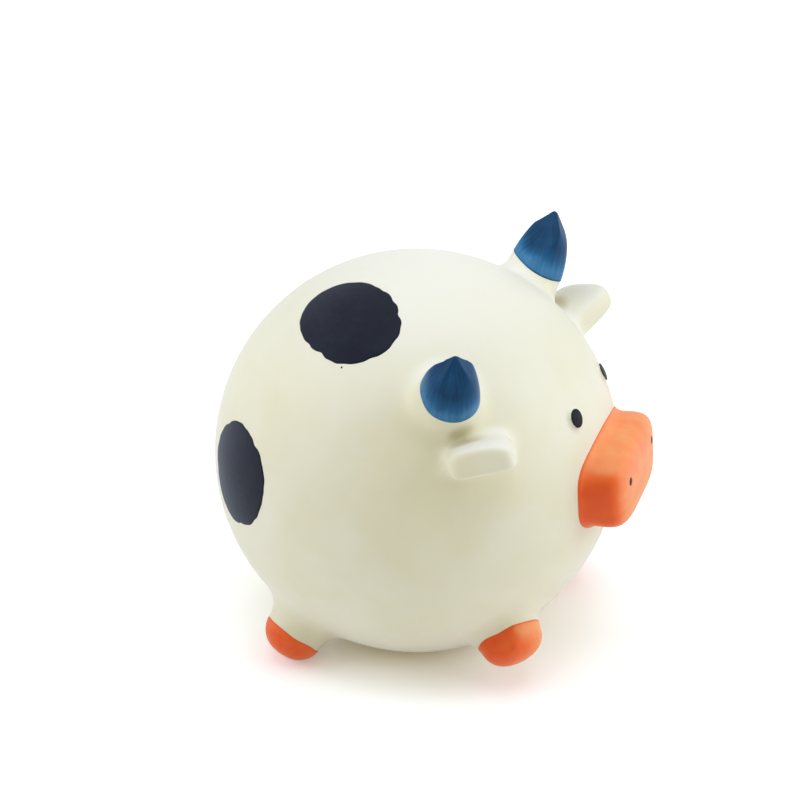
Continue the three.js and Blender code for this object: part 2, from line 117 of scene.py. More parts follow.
# %% [markdown]
# The mould is a ball with limbs that flow into it. Lofts and booleans meet in hard corners, so the toy is
# described by one distance field instead: a number for every point in space, below zero inside the latex
# and above zero outside. A smooth minimum melts one form into the next as clay does. First come a way to
# aim a limb from the ball's centre, and that smooth minimum.

# %% Aiming and melting
MIRROR = np.array([-1, 1, 1])  # to the toy's other side


def aim(azimuth, elevation, roll=0):
    """Rows: across, up along the skin, and out. The roll is in degrees too."""
    out = outward(azimuth, elevation)
    rise = np.array([0, 0, 1]) - out * out[2]
    rise /= np.linalg.norm(rise)
    across = np.cross(rise, out)
    cosine, sine = math.cos(math.radians(roll)), math.sin(math.radians(roll))
    return np.array([cosine * across + sine * rise, cosine * rise - sine * across, out])


def flipped(rows):
    """The same limb's frame on the toy's other side."""
    return rows * MIRROR


def melt(a, b, width):
    """Smooth minimum: the smaller of two distances, rounded where they are within a width of each other."""
    near = np.maximum(width - np.abs(a - b), 0) / width
    return np.minimum(a, b) - near**2 * width / 4


print("the muzzle points along", aim(0, 4.5)[2].round(3))

# %% [markdown]
# Each limb is a superellipsoid about a ray from the ball's centre: an oval whose corner value squares its
# section, more so towards its end if it has a facet value, and whose nose value squares that end. The muzzle
# is boxy, the legs are round stubs, the ears are flat paddles that arch and curl, and each horn leans up to a
# tip that two flat hips pinch. A front leg has one flat along its outer side: two parts of a direction, and
# its distance from the leg's axis. Reach is a limb's length from the ball's centre, and all sizes are
# millimetres.

# %% Limbs
PLAIN = {
    "corner": 2.0,
    "nose": 2.0,
    "taper": 0.0,
    "lean": 0.0,
    "arch": 0.0,
    "bend": 0.0,
    "toward": 0.0,
    "facet": 0.0,
    "cap": 0.0,
    "flat": None,
}
MUZZLE = {
    **PLAIN,
    "width": 25.6,
    "depth": 14.0,
    "reach": 40.1,
    "fillet": 1.3,
    "corner": 3.0,
    "facet": 1.0,
    "nose": 5.0,
    "taper": 0.04,
    "aim": aim(0, 4.5),
}
HORN = {
    **PLAIN,
    "width": 10.1,
    "depth": 10.1,
    "reach": 48.5,
    "fillet": 2.8,
    "taper": 0.12,
    "facet": 0.5,
    "lean": 4.4,
    "cap": math.radians(48),
    "back_cap": math.radians(66),
    "aim": aim(61.8, 41.2),
}
EAR = {
    **PLAIN,
    "width": 11.0,
    "depth": 5.0,
    "reach": 43.5,
    "fillet": 2.0,
    "corner": 3.8,
    "nose": 7.0,
    "arch": 0.6,
    "bend": math.radians(30),
    "toward": math.radians(-12),
    "aim": aim(54.0, 26.8, -6),
}
LEG = {**PLAIN, "width": 10.6, "depth": 10.6, "nose": 2.3, "fillet": 3.0}
FRONT_LEG = {**LEG, "reach": 41.2, "aim": aim(38.5, -38.5), "flat": (0.8, 0.6, 4.5)}
REAR_LEG = {**LEG, "reach": 42.4, "aim": aim(124.6, -45.9)}
EYE = {**PLAIN, "width": 2.9, "depth": 3.2, "reach": 35.7, "fillet": 0.6, "aim": aim(16.1, 26.8, 16)}
print("a horn's tip is", HORN["reach"] - BALL_RADIUS, "mm above the ball")

# %% [markdown]
# To measure a curled limb it is simplest to uncurl space first, and then measure a straight one. The
# distance to a superellipsoid has no exact formula. The one used here is right on the surface and nearly
# right close to it, which is all that a mesh needs.

# %% A limb's distance
FILLET_BLEND = 1.2  # a smooth minimum this many times a radius wide leaves about that radius
HIGHEST_CLIMB = 1.4  # a lean and an arch grow no further past the tip
LEAST_FORM = 0.05  # keeps the formula finite on the limb's axis
HIP_MELT = 0.5
FLAT_MELT = 0.6


def shoulder(limb):
    """Height on the limb's ray at which its nose begins."""
    half = limb["width"] / 2 + limb["fillet"]
    return math.sqrt((BALL_RADIUS + limb["fillet"]) ** 2 - half**2)


def straightened(limb, local):
    """Undoes the curl of a limb, which follows an arc that starts at the ball's surface."""
    if not limb["bend"]:
        return local
    way = np.array([math.cos(limb["toward"]), math.sin(limb["toward"])])
    side = np.array([-way[1], way[0]])
    radius = (limb["reach"] - BALL_RADIUS) / limb["bend"]
    along, beside = local[:, :2] @ way, local[:, :2] @ side
    height = local[:, 2] - BALL_RADIUS
    arc = np.hypot(radius - along, height)
    turn = np.arctan2(height, radius - along)
    curled = height > 0
    along = np.where(curled, radius - arc, along)
    height = np.where(curled, radius * turn, height)
    return np.column_stack([along[:, None] * way + beside[:, None] * side, height + BALL_RADIUS])


def limb_distance(limb, points):
    """About how far points given from the ball's centre lie outside a limb."""
    local = straightened(limb, points @ limb["aim"].T)
    climb = np.clip((local[:, 2] - BALL_RADIUS) / (limb["reach"] - BALL_RADIUS), 0, HIGHEST_CLIMB)
    across = np.abs(local[:, 0])
    arch = limb["arch"] * climb * (across / (limb["width"] / 2)) ** 2
    rise = local[:, 1] - limb["lean"] * climb**2
    upright = np.abs(rise + arch)
    foot = shoulder(limb)
    height = np.maximum(0, local[:, 2] - foot)
    share = height / (limb["reach"] - foot)
    swell = 1 - limb["taper"] * np.minimum(share, 1.0)
    half_across, half_upright = limb["width"] / 2 * swell, limb["depth"] / 2 * swell
    corner, nose = limb["corner"] + limb["facet"] * np.minimum(share, 1.0), limb["nose"]
    section = ((across / half_across) ** corner + (upright / half_upright) ** corner) ** (1 / corner)
    form = np.maximum((section**nose + share**nose) ** (1 / nose), LEAST_FORM)
    distance = np.sqrt(across**2 + upright**2 + height**2) * (1 - 1 / form)
    if limb["cap"]:
        over = local[:, 2] - limb["reach"]
        hip = np.maximum(across, -rise) * math.sin(limb["cap"]) + over * math.cos(limb["cap"])
        back_hip = rise * math.sin(limb["back_cap"]) + over * math.cos(limb["back_cap"])
        distance = -melt(-distance, -np.maximum(hip, back_hip), HIP_MELT)
    if limb["flat"]:
        aside, above, away = limb["flat"]
        distance = -melt(-distance, away - aside * local[:, 0] - above * local[:, 1], FLAT_MELT)
    return distance


tip = HORN["aim"].T @ np.array([0, HORN["lean"], HORN["reach"]])
print("distance at a horn's tip, mm:", limb_distance(HORN, tip[None, :]).round(2))

# %% [markdown]
# The whole mould is the ball with every limb melted on, once for each side, and a level cut for the belly
# that the toy sits on. Two helpers read the field: one finds its slope, and one walks points down that
# slope until they lie on the latex, or at a set height above it. The same walk later lays the paint.

# %% The mould's distance
LIMB_CONE = 0.7  # cosine of the angle off its ray within which a limb counts
LEAST_STEEPNESS = 0.2  # keeps a step finite where the field is level
LONGEST_STEP = 1.5


def mould_distance(points):
    """Distance from points, given from the ball's centre, to the outside of the moulding."""
    distance = np.linalg.norm(points, axis=1) - BALL_RADIUS
    folded = points * MIRROR
    for limb in (FRONT_LEG, REAR_LEG, EYE, EAR, HORN):
        width = limb["fillet"] * FILLET_BLEND
        for side in (points, folded):
            close = (side @ limb["aim"][2]) > LIMB_CONE * np.linalg.norm(side, axis=1)
            distance[close] = melt(distance[close], limb_distance(limb, side[close]), width)
    front = points[:, 1] < 0
    width = MUZZLE["fillet"] * FILLET_BLEND
    distance[front] = melt(distance[front], limb_distance(MUZZLE, points[front]), width)
    return np.maximum(distance, -CENTRE[2] - points[:, 2])


def slope(points, field, step=0.02):
    """The field's value, the unit direction in which it grows fastest, and how fast it grows."""
    here = field(points)
    rise = np.stack([(field(points + step * axis) - here) / step for axis in np.eye(3)], axis=1)
    steepness = np.maximum(np.linalg.norm(rise, axis=1, keepdims=True), LEAST_STEEPNESS)
    return here, rise / steepness, steepness[:, 0]


def settle(points, level=0.0, rounds=5, field=mould_distance):
    """Moves points along the field's slope until they lie at a height above its surface."""
    for _ in range(rounds):
        here, direction, steepness = slope(points, field)
        travel = np.clip((here - level) / steepness, -LONGEST_STEP, LONGEST_STEP)
        points = points - direction * travel[:, None]
    return points


print("the nose is at", settle(np.array([[0.0, -42.0, 3.0]])).round(2))

# %% [markdown]
# A field has no faces yet. Surface nets give it some: space is cut into small cubes, every cube that the
# surface passes gets one point, and every cube edge that crosses the surface gets a face between the four
# cubes round it. Marching cubes would leave slivers. Nets leave even squares, which are then evened out
# further and settled onto the surface, so no seam shows where a limb meets the ball.

# %% Mesh helpers


def surface_net(field, low, high, cell):
    """Points and faces of the zero level of a field inside a box."""
    counts = np.ceil((high - low) / cell).astype(int) + 1
    axes = [low[k] + cell * np.arange(counts[k]) for k in range(3)]
    grid = np.stack(np.meshgrid(*axes, indexing="ij"), axis=-1).reshape(-1, 3)
    inside = (field(grid) < 0).reshape(counts)
    corners = sum(
        inside[i : counts[0] - 1 + i, j : counts[1] - 1 + j, k : counts[2] - 1 + k].astype(int)
        for i in (0, 1)
        for j in (0, 1)
        for k in (0, 1)
    )
    passed = (corners > 0) & (corners < 8)
    number = np.full(passed.shape, -1)
    number[passed] = np.arange(passed.sum())
    points = low + cell * (np.argwhere(passed) + 0.5)
    faces = []
    for axis in range(3):
        order = (axis, (axis + 1) % 3, (axis + 2) % 3)
        turned = np.moveaxis(inside, order, (0, 1, 2))
        cells = np.moveaxis(number, order, (0, 1, 2))
        crossing = turned[:-1, 1:-1, 1:-1] != turned[1:, 1:-1, 1:-1]
        a, b, c = np.nonzero(crossing)
        around = [cells[a, b, c], cells[a, b + 1, c], cells[a, b + 1, c + 1], cells[a, b, c + 1]]
        quad = np.stack(around, axis=1)
        facing_out = turned[a, b + 1, c + 1]
        quad[~facing_out] = quad[~facing_out][:, ::-1]
        faces.append(quad)
    return points, np.concatenate(faces)


def evened(points, faces):
    """Moves each point to the middle of its neighbours."""
    total, count = np.zeros_like(points), np.zeros(len(points))
    for k in range(4):
        for other in (faces[:, (k + 1) % 4], faces[:, k - 1]):
            np.add.at(total, faces[:, k], points[other])
            np.add.at(count, faces[:, k], 1)
    return total / count[:, None]


def netted(field, low, high, cell, rounds=3):
    """A smooth, even net over a field's surface."""
    points, faces = surface_net(field, low, high, cell)
    for _ in range(rounds):
        points = settle(evened(points, faces), rounds=2, field=field)
    return points, faces


def make_piece(name, points, faces, body="toy"):
    """A smooth mesh object from points in millimetres from the ball's centre."""
    mesh = bpy.data.meshes.new(name)
    mesh.from_pydata(((points + CENTRE) * MM).tolist(), [], [tuple(int(i) for i in face) for face in faces])
    mesh.shade_smooth()
    piece = bpy.data.objects.new(name, mesh)
    bpy.context.scene.collection.objects.link(piece)
    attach(piece, body)
    return piece


print("mesh helpers ready")

# %% [markdown]
# Latex is poured into the mould and out again, so the toy is a thin shell. Its outside is the mould's own
# surface. Its inside is made from a second field: the ball less one wall, with hollows that follow the legs
# and the muzzle. Horns and ears fill solid. A thick collar round the belly hole grips the squeaker, so it is
# kept out of the hollow. The soles stand off the ground by their paint.

# %% The skin's two surfaces
SKIN_CELL = 0.6
HOLLOW_CELL = 1.2
WALL = 1.6
BELLY_WALL = 2.2
COLLAR_RADIUS = 9.3
COLLAR_HEIGHT = 5.2
SOLE_PAINT = 0.1
SOLE_MARGIN = 2.0  # from the belly's flat to where a sole may start
HOLLOW_CONE = 0.75  # as the limbs' cone, for the hollows in them
ROOM = 2.0  # between the frame's box and the net's


def hollow_distance(points):
    """Distance to the inside of the latex."""
    distance = np.linalg.norm(points, axis=1) - (BALL_RADIUS - WALL)
    for limb in (FRONT_LEG, REAR_LEG, MUZZLE):
        for side in (points, points * MIRROR):
            close = (side @ limb["aim"][2]) > HOLLOW_CONE * np.linalg.norm(side, axis=1)
            core = limb_distance(limb, side[close]) + WALL
            distance[close] = melt(distance[close], core, limb["fillet"])
    height = points[:, 2] + CENTRE[2]
    distance = np.maximum(distance, BELLY_WALL - height)
    collar = np.maximum(np.hypot(points[:, 0], points[:, 1]) - COLLAR_RADIUS, height - COLLAR_HEIGHT)
    return np.maximum(distance, -collar)


low = np.array(cad_box[0]) / MM - CENTRE - ROOM
high = np.array(cad_box[1]) / MM - CENTRE + ROOM
skin_points, skin_faces = netted(mould_distance, low, high, SKIN_CELL)
soles = np.hypot(skin_points[:, 0], skin_points[:, 1]) > BELLY_FLAT_RADIUS + SOLE_MARGIN
skin_points[soles, 2] = np.maximum(skin_points[soles, 2], SOLE_PAINT - CENTRE[2])
hollow_points, hollow_faces = netted(hollow_distance, low, high, HOLLOW_CELL, 2)
print("outside:", len(skin_faces), "faces, inside:", len(hollow_faces), "faces")

# %% [markdown]
# The squeaker is pushed through a hole in the belly. Round things such as this hole and the squeaker's
# housing are turned: an outline in radius and height is spun about the squeaker's axis, as on a lathe. The
# hole is the housing's flange and barrel with a little room round them. It has crisp edges that a net would
# blur, so it is cut out afterwards with a boolean.

# %% Turned forms
FLANGE_RADIUS = 7.5
FLANGE_TOP = 1.7
BARREL_RADIUS = 5.2
SEAT_ROOM = 0.3
CUTTER_FOOT, CUTTER_TOP = -2.0, 6.4  # past the belly's flat, and past the collar
HOLE_OUTLINE = [  # radius, height above the floor
    (0, CUTTER_FOOT),
    (FLANGE_RADIUS + SEAT_ROOM, CUTTER_FOOT),
    (FLANGE_RADIUS + SEAT_ROOM, FLANGE_TOP + SEAT_ROOM),
    (BARREL_RADIUS + SEAT_ROOM, FLANGE_TOP + SEAT_ROOM),
    (BARREL_RADIUS + SEAT_ROOM, CUTTER_TOP),
    (0, CUTTER_TOP),
]


def make_turned(name, outline, sides=96):
    """A mesh object turned about the squeaker's axis, from radius and height above the floor, in mm."""
    work = bmesh.new()
    rings = []
    for radius, height in outline:
        turns = [2 * math.pi * k / sides for k in range(1 if radius == 0 else sides)]
        ring = [(radius * math.cos(turn), radius * math.sin(turn) + CENTRE[1], height) for turn in turns]
        rings.append([work.verts.new([value * MM for value in place]) for place in ring])
    for a, b in zip(rings, rings[1:] + rings[:1]):
        for k in range(sides):
            corners = [a[k % len(a)], a[(k + 1) % len(a)], b[(k + 1) % len(b)], b[k % len(b)]]
            corners = list(dict.fromkeys(corners))
            if len(corners) > 2:
                work.faces.new(corners)
    bmesh.ops.recalc_face_normals(work, faces=work.faces)
    mesh = bpy.data.meshes.new(name)
    work.to_mesh(mesh)
    work.free()
    turned = bpy.data.objects.new(name, mesh)
    bpy.context.scene.collection.objects.link(turned)
    return turned


cutter = make_turned("cutter", HOLE_OUTLINE)
print("cutter:", len(cutter.data.polygons), "faces")

# %% [markdown]
# The creases are painted olive, as painted shade that falls in them. To let the material know where, each
# point of the skin gets a number: how much the field is closed in over it. Over open skin the distance grows
# as fast as one climbs, and over a crease it grows more slowly. The number is kept as an attribute.

# %% The skin
CREASE_HEIGHTS = (0.8, 1.6, 2.4, 3.2, 4.0)
CRISP_HOLE = math.radians(40)  # edges that turn more than this stay crisp


def closed_in(points):
    """0 on open skin, towards 1 at the bottom of a crease."""
    here, direction, _ = slope(points, mould_distance)
    shares = [1 - (mould_distance(points + direction * h) - here) / h for h in CREASE_HEIGHTS]
    return np.clip(sum(shares) / len(CREASE_HEIGHTS), 0, 1)


skin = make_piece(
    "moulded_skin",
    np.concatenate([skin_points, hollow_points]),
    np.concatenate([skin_faces, hollow_faces[:, ::-1] + len(skin_points)]),
)
cut = skin.modifiers.new("belly_hole", "BOOLEAN")
cut.object, cut.operation, cut.solver = cutter, "DIFFERENCE", "EXACT"
bpy.context.view_layer.update()
shape = bpy.data.meshes.new_from_object(skin.evaluated_get(bpy.context.evaluated_depsgraph_get()))
skin.modifiers.clear()
skin.data = shape
bpy.data.objects.remove(cutter)
places = np.array([v.co for v in skin.data.vertices]) / MM - CENTRE
crease = skin.data.attributes.new("crease", "FLOAT", "POINT")
crease.data.foreach_set("value", closed_in(places).astype(np.float32))
skin.data.shade_smooth()
skin.data.set_sharp_from_angle(angle=CRISP_HOLE)
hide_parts("latex_skin")
print("skin:", len(skin.data.polygons), "faces")

# %% [markdown]
# Horns, muzzle, hooves, eyes, nostrils and patches are brushed with coloured latex after the moulding. Paint
# could be a colour on the skin, but a coat has a body and a rounded rim that catch the light. So each coat
# is a closed film: rays fan out from a point under it, rows run from its middle to its painted edge, and
# every point settles at its own height over the latex. The edge is an angle for each direction round the
# fan's axis, which lets a brushed line wander, and the middle may lean away from the axis, to a horn's tip
# for one. Each point also keeps its turn and its share of the way to the rim, because a brush leaves its
# streaks along or round them, and how much it looks up or forward, for the painted light that makes those
# faces lighter.

# %% Coats of paint
COAT_TOP = 0.09
COAT_UNDER = -0.15
FORWARD_LIGHT_SHARE = 0.82  # as a share of how much lighter a face that looks up is painted
RIM = [(0.3, 1.0), (0.16, 0.8), (0.06, 0.45), (0.0, -0.05)]  # mm from the edge, share of the coat's height
GROUND_CLEARANCE = 0.01
RAY_START = 0.2
RAY_CARE = 0.85  # share of the distance that a step dares to take
RAY_STEPS = 16
RAY_BRACKET = 0.6  # the surface lies at most this far from where the steps end
RAY_HALVINGS = 14


def first_exit(origin, rays, field):
    """Where rays from a point inside a field leave it: long steps towards the surface, then halving."""
    travel = np.full(len(rays), RAY_START)
    for _ in range(RAY_STEPS):
        travel -= RAY_CARE * field(origin + rays * travel[:, None])
    near, far = travel - RAY_BRACKET, travel + RAY_BRACKET
    for _ in range(RAY_HALVINGS):
        travel = (near + far) / 2
        inside = field(origin + rays * travel[:, None]) < 0
        near, far = np.where(inside, travel, near), np.where(inside, far, travel)
    return origin + rays * travel[:, None]


def make_coat(
    name,
    origin,
    frame_rows,
    edge,
    size,
    node=None,
    rows=18,
    columns=64,
    top=COAT_TOP,
    middle=(0.0, 0.0, 1.0),
    field=mould_distance,
):
    """A film over the skin. The edge is an angle off the axis for each turn, the size its radius in mm."""
    middle = np.array(middle) / np.linalg.norm(middle)
    turns = 2 * np.pi * np.arange(columns) / columns
    reach = edge(turns)
    rim = np.stack([np.cos(turns) * np.sin(reach), np.sin(turns) * np.sin(reach), np.cos(reach)], axis=1)
    sweep = np.arccos(rim @ middle)[:, None]
    under = top + COAT_UNDER - COAT_TOP
    shares = [k / rows * (1 - RIM[0][0] / size) for k in range(1, rows)]
    film = [(share, top) for share in shares]
    film += [(1 - margin / size, top * height) for margin, height in RIM]
    film += [(share, under) for share in [1 - RIM[1][0] / size, *reversed(shares)]]
    rays, levels, brush = [middle], [top], [[1.0, 0.0, 0.0]]
    for share, level in film:
        rays += list((np.sin((1 - share) * sweep) * middle + np.sin(share * sweep) * rim) / np.sin(sweep))
        brush += [[math.cos(turn), math.sin(turn), share] for turn in turns]
        levels += [level] * columns
    rays.append(middle)
    brush.append([1.0, 0.0, 0.0])
    levels.append(under)
    points = settle(first_exit(origin, np.array(rays) @ frame_rows, field), np.array(levels), 4)
    points[:, 2] = np.maximum(points[:, 2], -CENTRE[2] + GROUND_CLEARANCE)
    faces = []
    for k in range(columns):
        after = (k + 1) % columns
        faces.append((0, 1 + k, 1 + after))
        for row in range(len(film) - 1):
            a, b = 1 + row * columns, 1 + (row + 1) * columns
            faces.append((a + k, b + k, b + after, a + after))
        last = 1 + (len(film) - 1) * columns
        faces.append((last + k, len(points) - 1, last + after))
    coat = make_piece(name, points, faces)
    way = coat.data.attributes.new("brush", "FLOAT_VECTOR", "POINT")
    way.data.foreach_set("vector", np.array(brush, np.float32).ravel())
    # Painted light: how much each face looks up or forward, which the paint turns into a lighter tone.
    out = slope(points, mould_distance)[1]
    top_light = np.hypot(np.maximum(out[:, 2], 0), FORWARD_LIGHT_SHARE * np.maximum(-out[:, 1], 0))
    painted_top_light = coat.data.attributes.new("painted_top_light", "FLOAT", "POINT")
    painted_top_light.data.foreach_set("value", top_light.astype(np.float32))
    if node:
        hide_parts(node)
    return coat


def wander(turns, seed, depth, waves=range(2, 8)):
    """A smooth wobble round a closed line, as a brush leaves it."""
    rng = np.random.default_rng(seed)
    total = np.zeros_like(turns)
    for wave in waves:
        total += np.sin(wave * turns + rng.uniform(0, 2 * np.pi)) * rng.uniform(0.4, 1.0) / wave
    return depth * total


coats = {"blue": [], "orange": [], "black": [], "brown": [], "navy": []}
print("a coat stands", COAT_TOP, "mm over the latex")

# %% [markdown]
# A horn is brushed from its tip down to a line that hangs lower on its upper rear side. Its rays start on
# the horn's axis near the height of that line and fan out from the tip. They look for the horn's own field,
# ball and horn alone, because rays that looked for the whole mould would run on into the ear beside it.

# %% Horn coats
HORN_BARE_HEIGHT = 3.0
HORN_LINE_TILT = (1.23, -1.32)  # mm, across the horn and up along the skin
HORN_LINE_DROP = 0.35
HORN_LINE_SWING = 0.4  # mm, twice round the horn
HORN_LINE_SWING_TURN = math.radians(35)
HORN_WOBBLE = 0.035  # radians
HORN_COAT_SIZE = 13


def horn_edge(turns):
    """Edge angle of a horn's coat for each turn, from how far its line lies off the level one."""
    line = HORN_LINE_TILT[0] * np.cos(turns) + HORN_LINE_TILT[1] * np.sin(turns) + HORN_LINE_DROP
    line += HORN_LINE_SWING * (1 + np.cos(2 * (turns - HORN_LINE_SWING_TURN)))
    return math.radians(90) - np.arctan2(line, HORN["width"] / 2) + wander(turns, 4, HORN_WOBBLE)


def horn_field(side):
    """The distance of the ball with one horn, on the side that the sign gives."""

    def field(points):
        horn = limb_distance(HORN, points * np.array([side, 1, 1]))
        return melt(np.linalg.norm(points, axis=1) - BALL_RADIUS, horn, HORN["fillet"] * FILLET_BLEND)

    return field


climb = HORN_BARE_HEIGHT / (HORN["reach"] - BALL_RADIUS)
horn_middle = np.array([0, HORN["lean"] * climb**2, BALL_RADIUS + HORN_BARE_HEIGHT])
for side, sign in (("left", 1), ("right", -1)):
    rows = HORN["aim"] if sign > 0 else flipped(HORN["aim"])
    coats["blue"].append(
        make_coat(
            side + "_horn_coat",
            horn_middle @ rows,
            rows,
            horn_edge,
            HORN_COAT_SIZE,
            side + "_horn_paint",
            rows=44,
            columns=120,
            middle=np.array([0, HORN["lean"], HORN["reach"]]) - horn_middle,
            field=horn_field(sign),
        )
    )
print("horn coats:", len(coats["blue"][0].data.polygons), "faces each")

# %% [markdown]
# The hooves are painted the same way, about a point on each leg's axis. The line is put on by eye, so every
# hoof gets its own wobble, and on a front hoof it climbs over the flat on the outer side.

# %% Hoof coats
BARE_HEIGHTS = {"front": 1.4, "rear": 3.4}
CLIMBS = {"front": 0.07, "rear": 0.0}  # radians
CLIMB_TURN = math.radians(60)
HOOF_WOBBLE = 0.07
HOOF_COAT_SIZE = 9


def hoof_edge(seed, climb):
    """Edge angle of a hoof's coat: square to the leg, but for a climb and a wobble."""

    def edge(turns):
        outer = np.maximum(np.cos(turns - CLIMB_TURN), 0)
        return math.radians(90) + climb * outer**2 + wander(turns, seed, HOOF_WOBBLE)

    return edge


for end, leg in (("front", FRONT_LEG), ("rear", REAR_LEG)):
    for side, rows in (("left", leg["aim"]), ("right", flipped(leg["aim"]))):
        name = f"{end}_{side}_hoof"
        origin = np.array([0, 0, BALL_RADIUS + BARE_HEIGHTS[end]]) @ rows
        edge = hoof_edge(11 + len(coats["orange"]), CLIMBS[end])
        coats["orange"].append(
            make_coat(
                name + "_coat",
                origin,
                rows,
                edge,
                HOOF_COAT_SIZE,
                name + "_paint",
                rows=26,
                columns=96,
            )
        )
print("hoof coats:", len(coats["orange"]))

# %% [markdown]
# The muzzle's coat runs right into the crease with the ball. The muzzle is a squared oval, so its edge is
# too: the crease's distance from the muzzle's axis is worked out for each direction, and turned into the
# angle at which a point inside the ball sees it.

# %% Muzzle coat
MUZZLE_ROOT = 24.0
MUZZLE_OVERLAP = 0.5
MUZZLE_TOP_OVERLAP = 1.2
MUZZLE_WOBBLE = 0.12
MUZZLE_COAT_SIZE = 16


def muzzle_edge(turns):
    """Edge angle of the muzzle's coat, as the root's point inside the ball sees the squared crease."""
    across = np.abs(np.cos(turns)) / (MUZZLE["width"] / 2)
    upright = np.abs(np.sin(turns)) / (MUZZLE["depth"] / 2)
    half = (across ** MUZZLE["corner"] + upright ** MUZZLE["corner"]) ** (-1 / MUZZLE["corner"])
    half += MUZZLE_OVERLAP + MUZZLE_TOP_OVERLAP * np.maximum(np.sin(turns), 0) ** 2
    half += wander(turns, 8, MUZZLE_WOBBLE)
    return np.arctan2(half, np.sqrt(BALL_RADIUS**2 - half**2) - MUZZLE_ROOT)


origin = np.array([0, 0, MUZZLE_ROOT]) @ MUZZLE["aim"]
coats["orange"].append(
    make_coat(
        "muzzle_coat",
        origin,
        MUZZLE["aim"],
        muzzle_edge,
        MUZZLE_COAT_SIZE,
        "muzzle_paint",
        rows=44,
        columns=176,
    )
)
print("muzzle coat:", len(coats["orange"][-1].data.polygons), "faces")

# %% [markdown]
# Eyes and nostrils are single touches of a small brush: ovals that stand a little prouder than the other
# coats. The nostrils lie on top of the muzzle's paint, so their film starts above it.

# %% Eye and nostril coats
EYE_SIGHT = 2.0  # how far under the ball's surface the rays start
EYE_DOT = (1.58, 1.75, 2.7)  # half width, half height, and the depth that they are seen from
EYE_COAT_SIZE = 1.5
EYE_COAT_TOP = 0.12
NOSTRIL_SPACING = 15
NOSTRIL_RISE = 1.9
NOSTRIL_SIGHT = 2.0  # how far above the ball's surface the rays start, inside the muzzle
NOSTRIL_DOT = (0.7, 0.82, 3)
NOSTRIL_COAT_SIZE = 0.8
NOSTRIL_COAT_TOP = 0.2


def dot_edge(width, height, depth):
    """Edge angle of an oval dot that is seen from a depth under it."""

    def edge(turns):
        half = 1 / np.hypot(np.cos(turns) / width, np.sin(turns) / height)
        return np.arctan2(half, depth)

    return edge


for side, sign in (("left", 1), ("right", -1)):
    rows = EYE["aim"] if sign > 0 else flipped(EYE["aim"])
    origin = np.array([0, 0, BALL_RADIUS - EYE_SIGHT]) @ rows
    edge = dot_edge(*EYE_DOT)
    coats["black"].append(
        make_coat(
            side + "_eye_coat",
            origin,
            rows,
            edge,
            EYE_COAT_SIZE,
            side + "_eye_paint",
            rows=12,
            columns=48,
            top=EYE_COAT_TOP,
        )
    )
    origin = np.array([sign * NOSTRIL_SPACING / 2, NOSTRIL_RISE, BALL_RADIUS + NOSTRIL_SIGHT]) @ MUZZLE["aim"]
    edge = dot_edge(*NOSTRIL_DOT)
    coats["brown"].append(
        make_coat(
            side + "_nostril_coat",
            origin,
            MUZZLE["aim"],
            edge,
            NOSTRIL_COAT_SIZE,
            side + "_nostril_paint",
            rows=8,
            columns=32,
            top=NOSTRIL_COAT_TOP,
        )
    )
print("dots:", len(coats["black"]) + len(coats["brown"]))

# %% [markdown]
# A patch is filled in with a few sweeps of a round brush. Its outline is a smooth closed wave through twelve
# shares of its mean radius, and where one sweep ends and the next begins it steps back in a small notch.
# One stray fleck of the same paint lies beside the patch on the back.

# %% Patch coats
PATCHES = {  # radius, aim, and shares of that radius round the patch
    "back_patch": (
        9.0,
        aim(-117, 62.6),
        [1.12, 1, 0.89, 0.88, 0.98, 1.13, 1.17, 1.01, 0.87, 0.86, 0.98, 1.09],
    ),
    "right_rump_patch": (
        8.9,
        aim(-133, 7.7),
        [0.97, 0.99, 0.95, 0.96, 0.99, 1.03, 1.06, 1.02, 1.07, 1.03, 0.98, 0.97],
    ),
    "left_flank_patch": (
        9.2,
        aim(104, 12),
        [1.1, 1.02, 0.92, 0.9, 0.97, 1.08, 1.12, 1, 0.9, 0.88, 0.96, 1.06],
    ),
    "left_haunch_patch": (
        8.0,
        aim(152, 36),
        [1, 1.04, 1.08, 1.02, 0.95, 0.92, 0.96, 1.02, 1.05, 1, 0.94, 0.95],
    ),
}
NOTCHES = {  # degrees round the patch, depth in mm, width in degrees
    "back_patch": [(270, 0.35, 7), (334, 0.3, 6), (35, 0.25, 5)],
    "right_rump_patch": [(60, 0.2, 6), (200, 0.2, 6)],
    "left_flank_patch": [(120, 0.3, 7), (300, 0.3, 6)],
    "left_haunch_patch": [(20, 0.25, 6), (190, 0.3, 7)],
}
PATCH_WOBBLE = 0.35
FLECK_TURN = math.radians(303.8)
FLECK_AWAY = 9.55
FLECK_DOT = (0.16, 0.2, 2)
FLECK_COAT_SIZE = 0.45
FLECK_COAT_TOP = 0.05
WIDEST_PATCH = 0.9  # of the ball's radius


def patch_edge(radius, shares, notches, seed):
    """Edge angle of a painted patch: a smooth round through its shares, less notches, with a fine wobble."""
    waves = np.fft.rfft(shares) / len(shares)

    def edge(turns):
        # each wave has a twin that rfft leaves out, except the shortest wave of an even count
        smooth = waves[0].real + sum(
            2 * (waves[k] * np.exp(1j * k * turns)).real * (0.5 if 2 * k == len(shares) else 1)
            for k in range(1, len(waves))
        )
        half = radius * smooth + wander(turns, seed, PATCH_WOBBLE, range(7, 30))
        for degrees, depth, width in notches:
            away = (np.degrees(turns) - degrees + 180) % 360 - 180
            half -= depth * np.exp(-((away / width) ** 2))
        return np.arcsin(np.minimum(half / BALL_RADIUS, WIDEST_PATCH))

    return edge


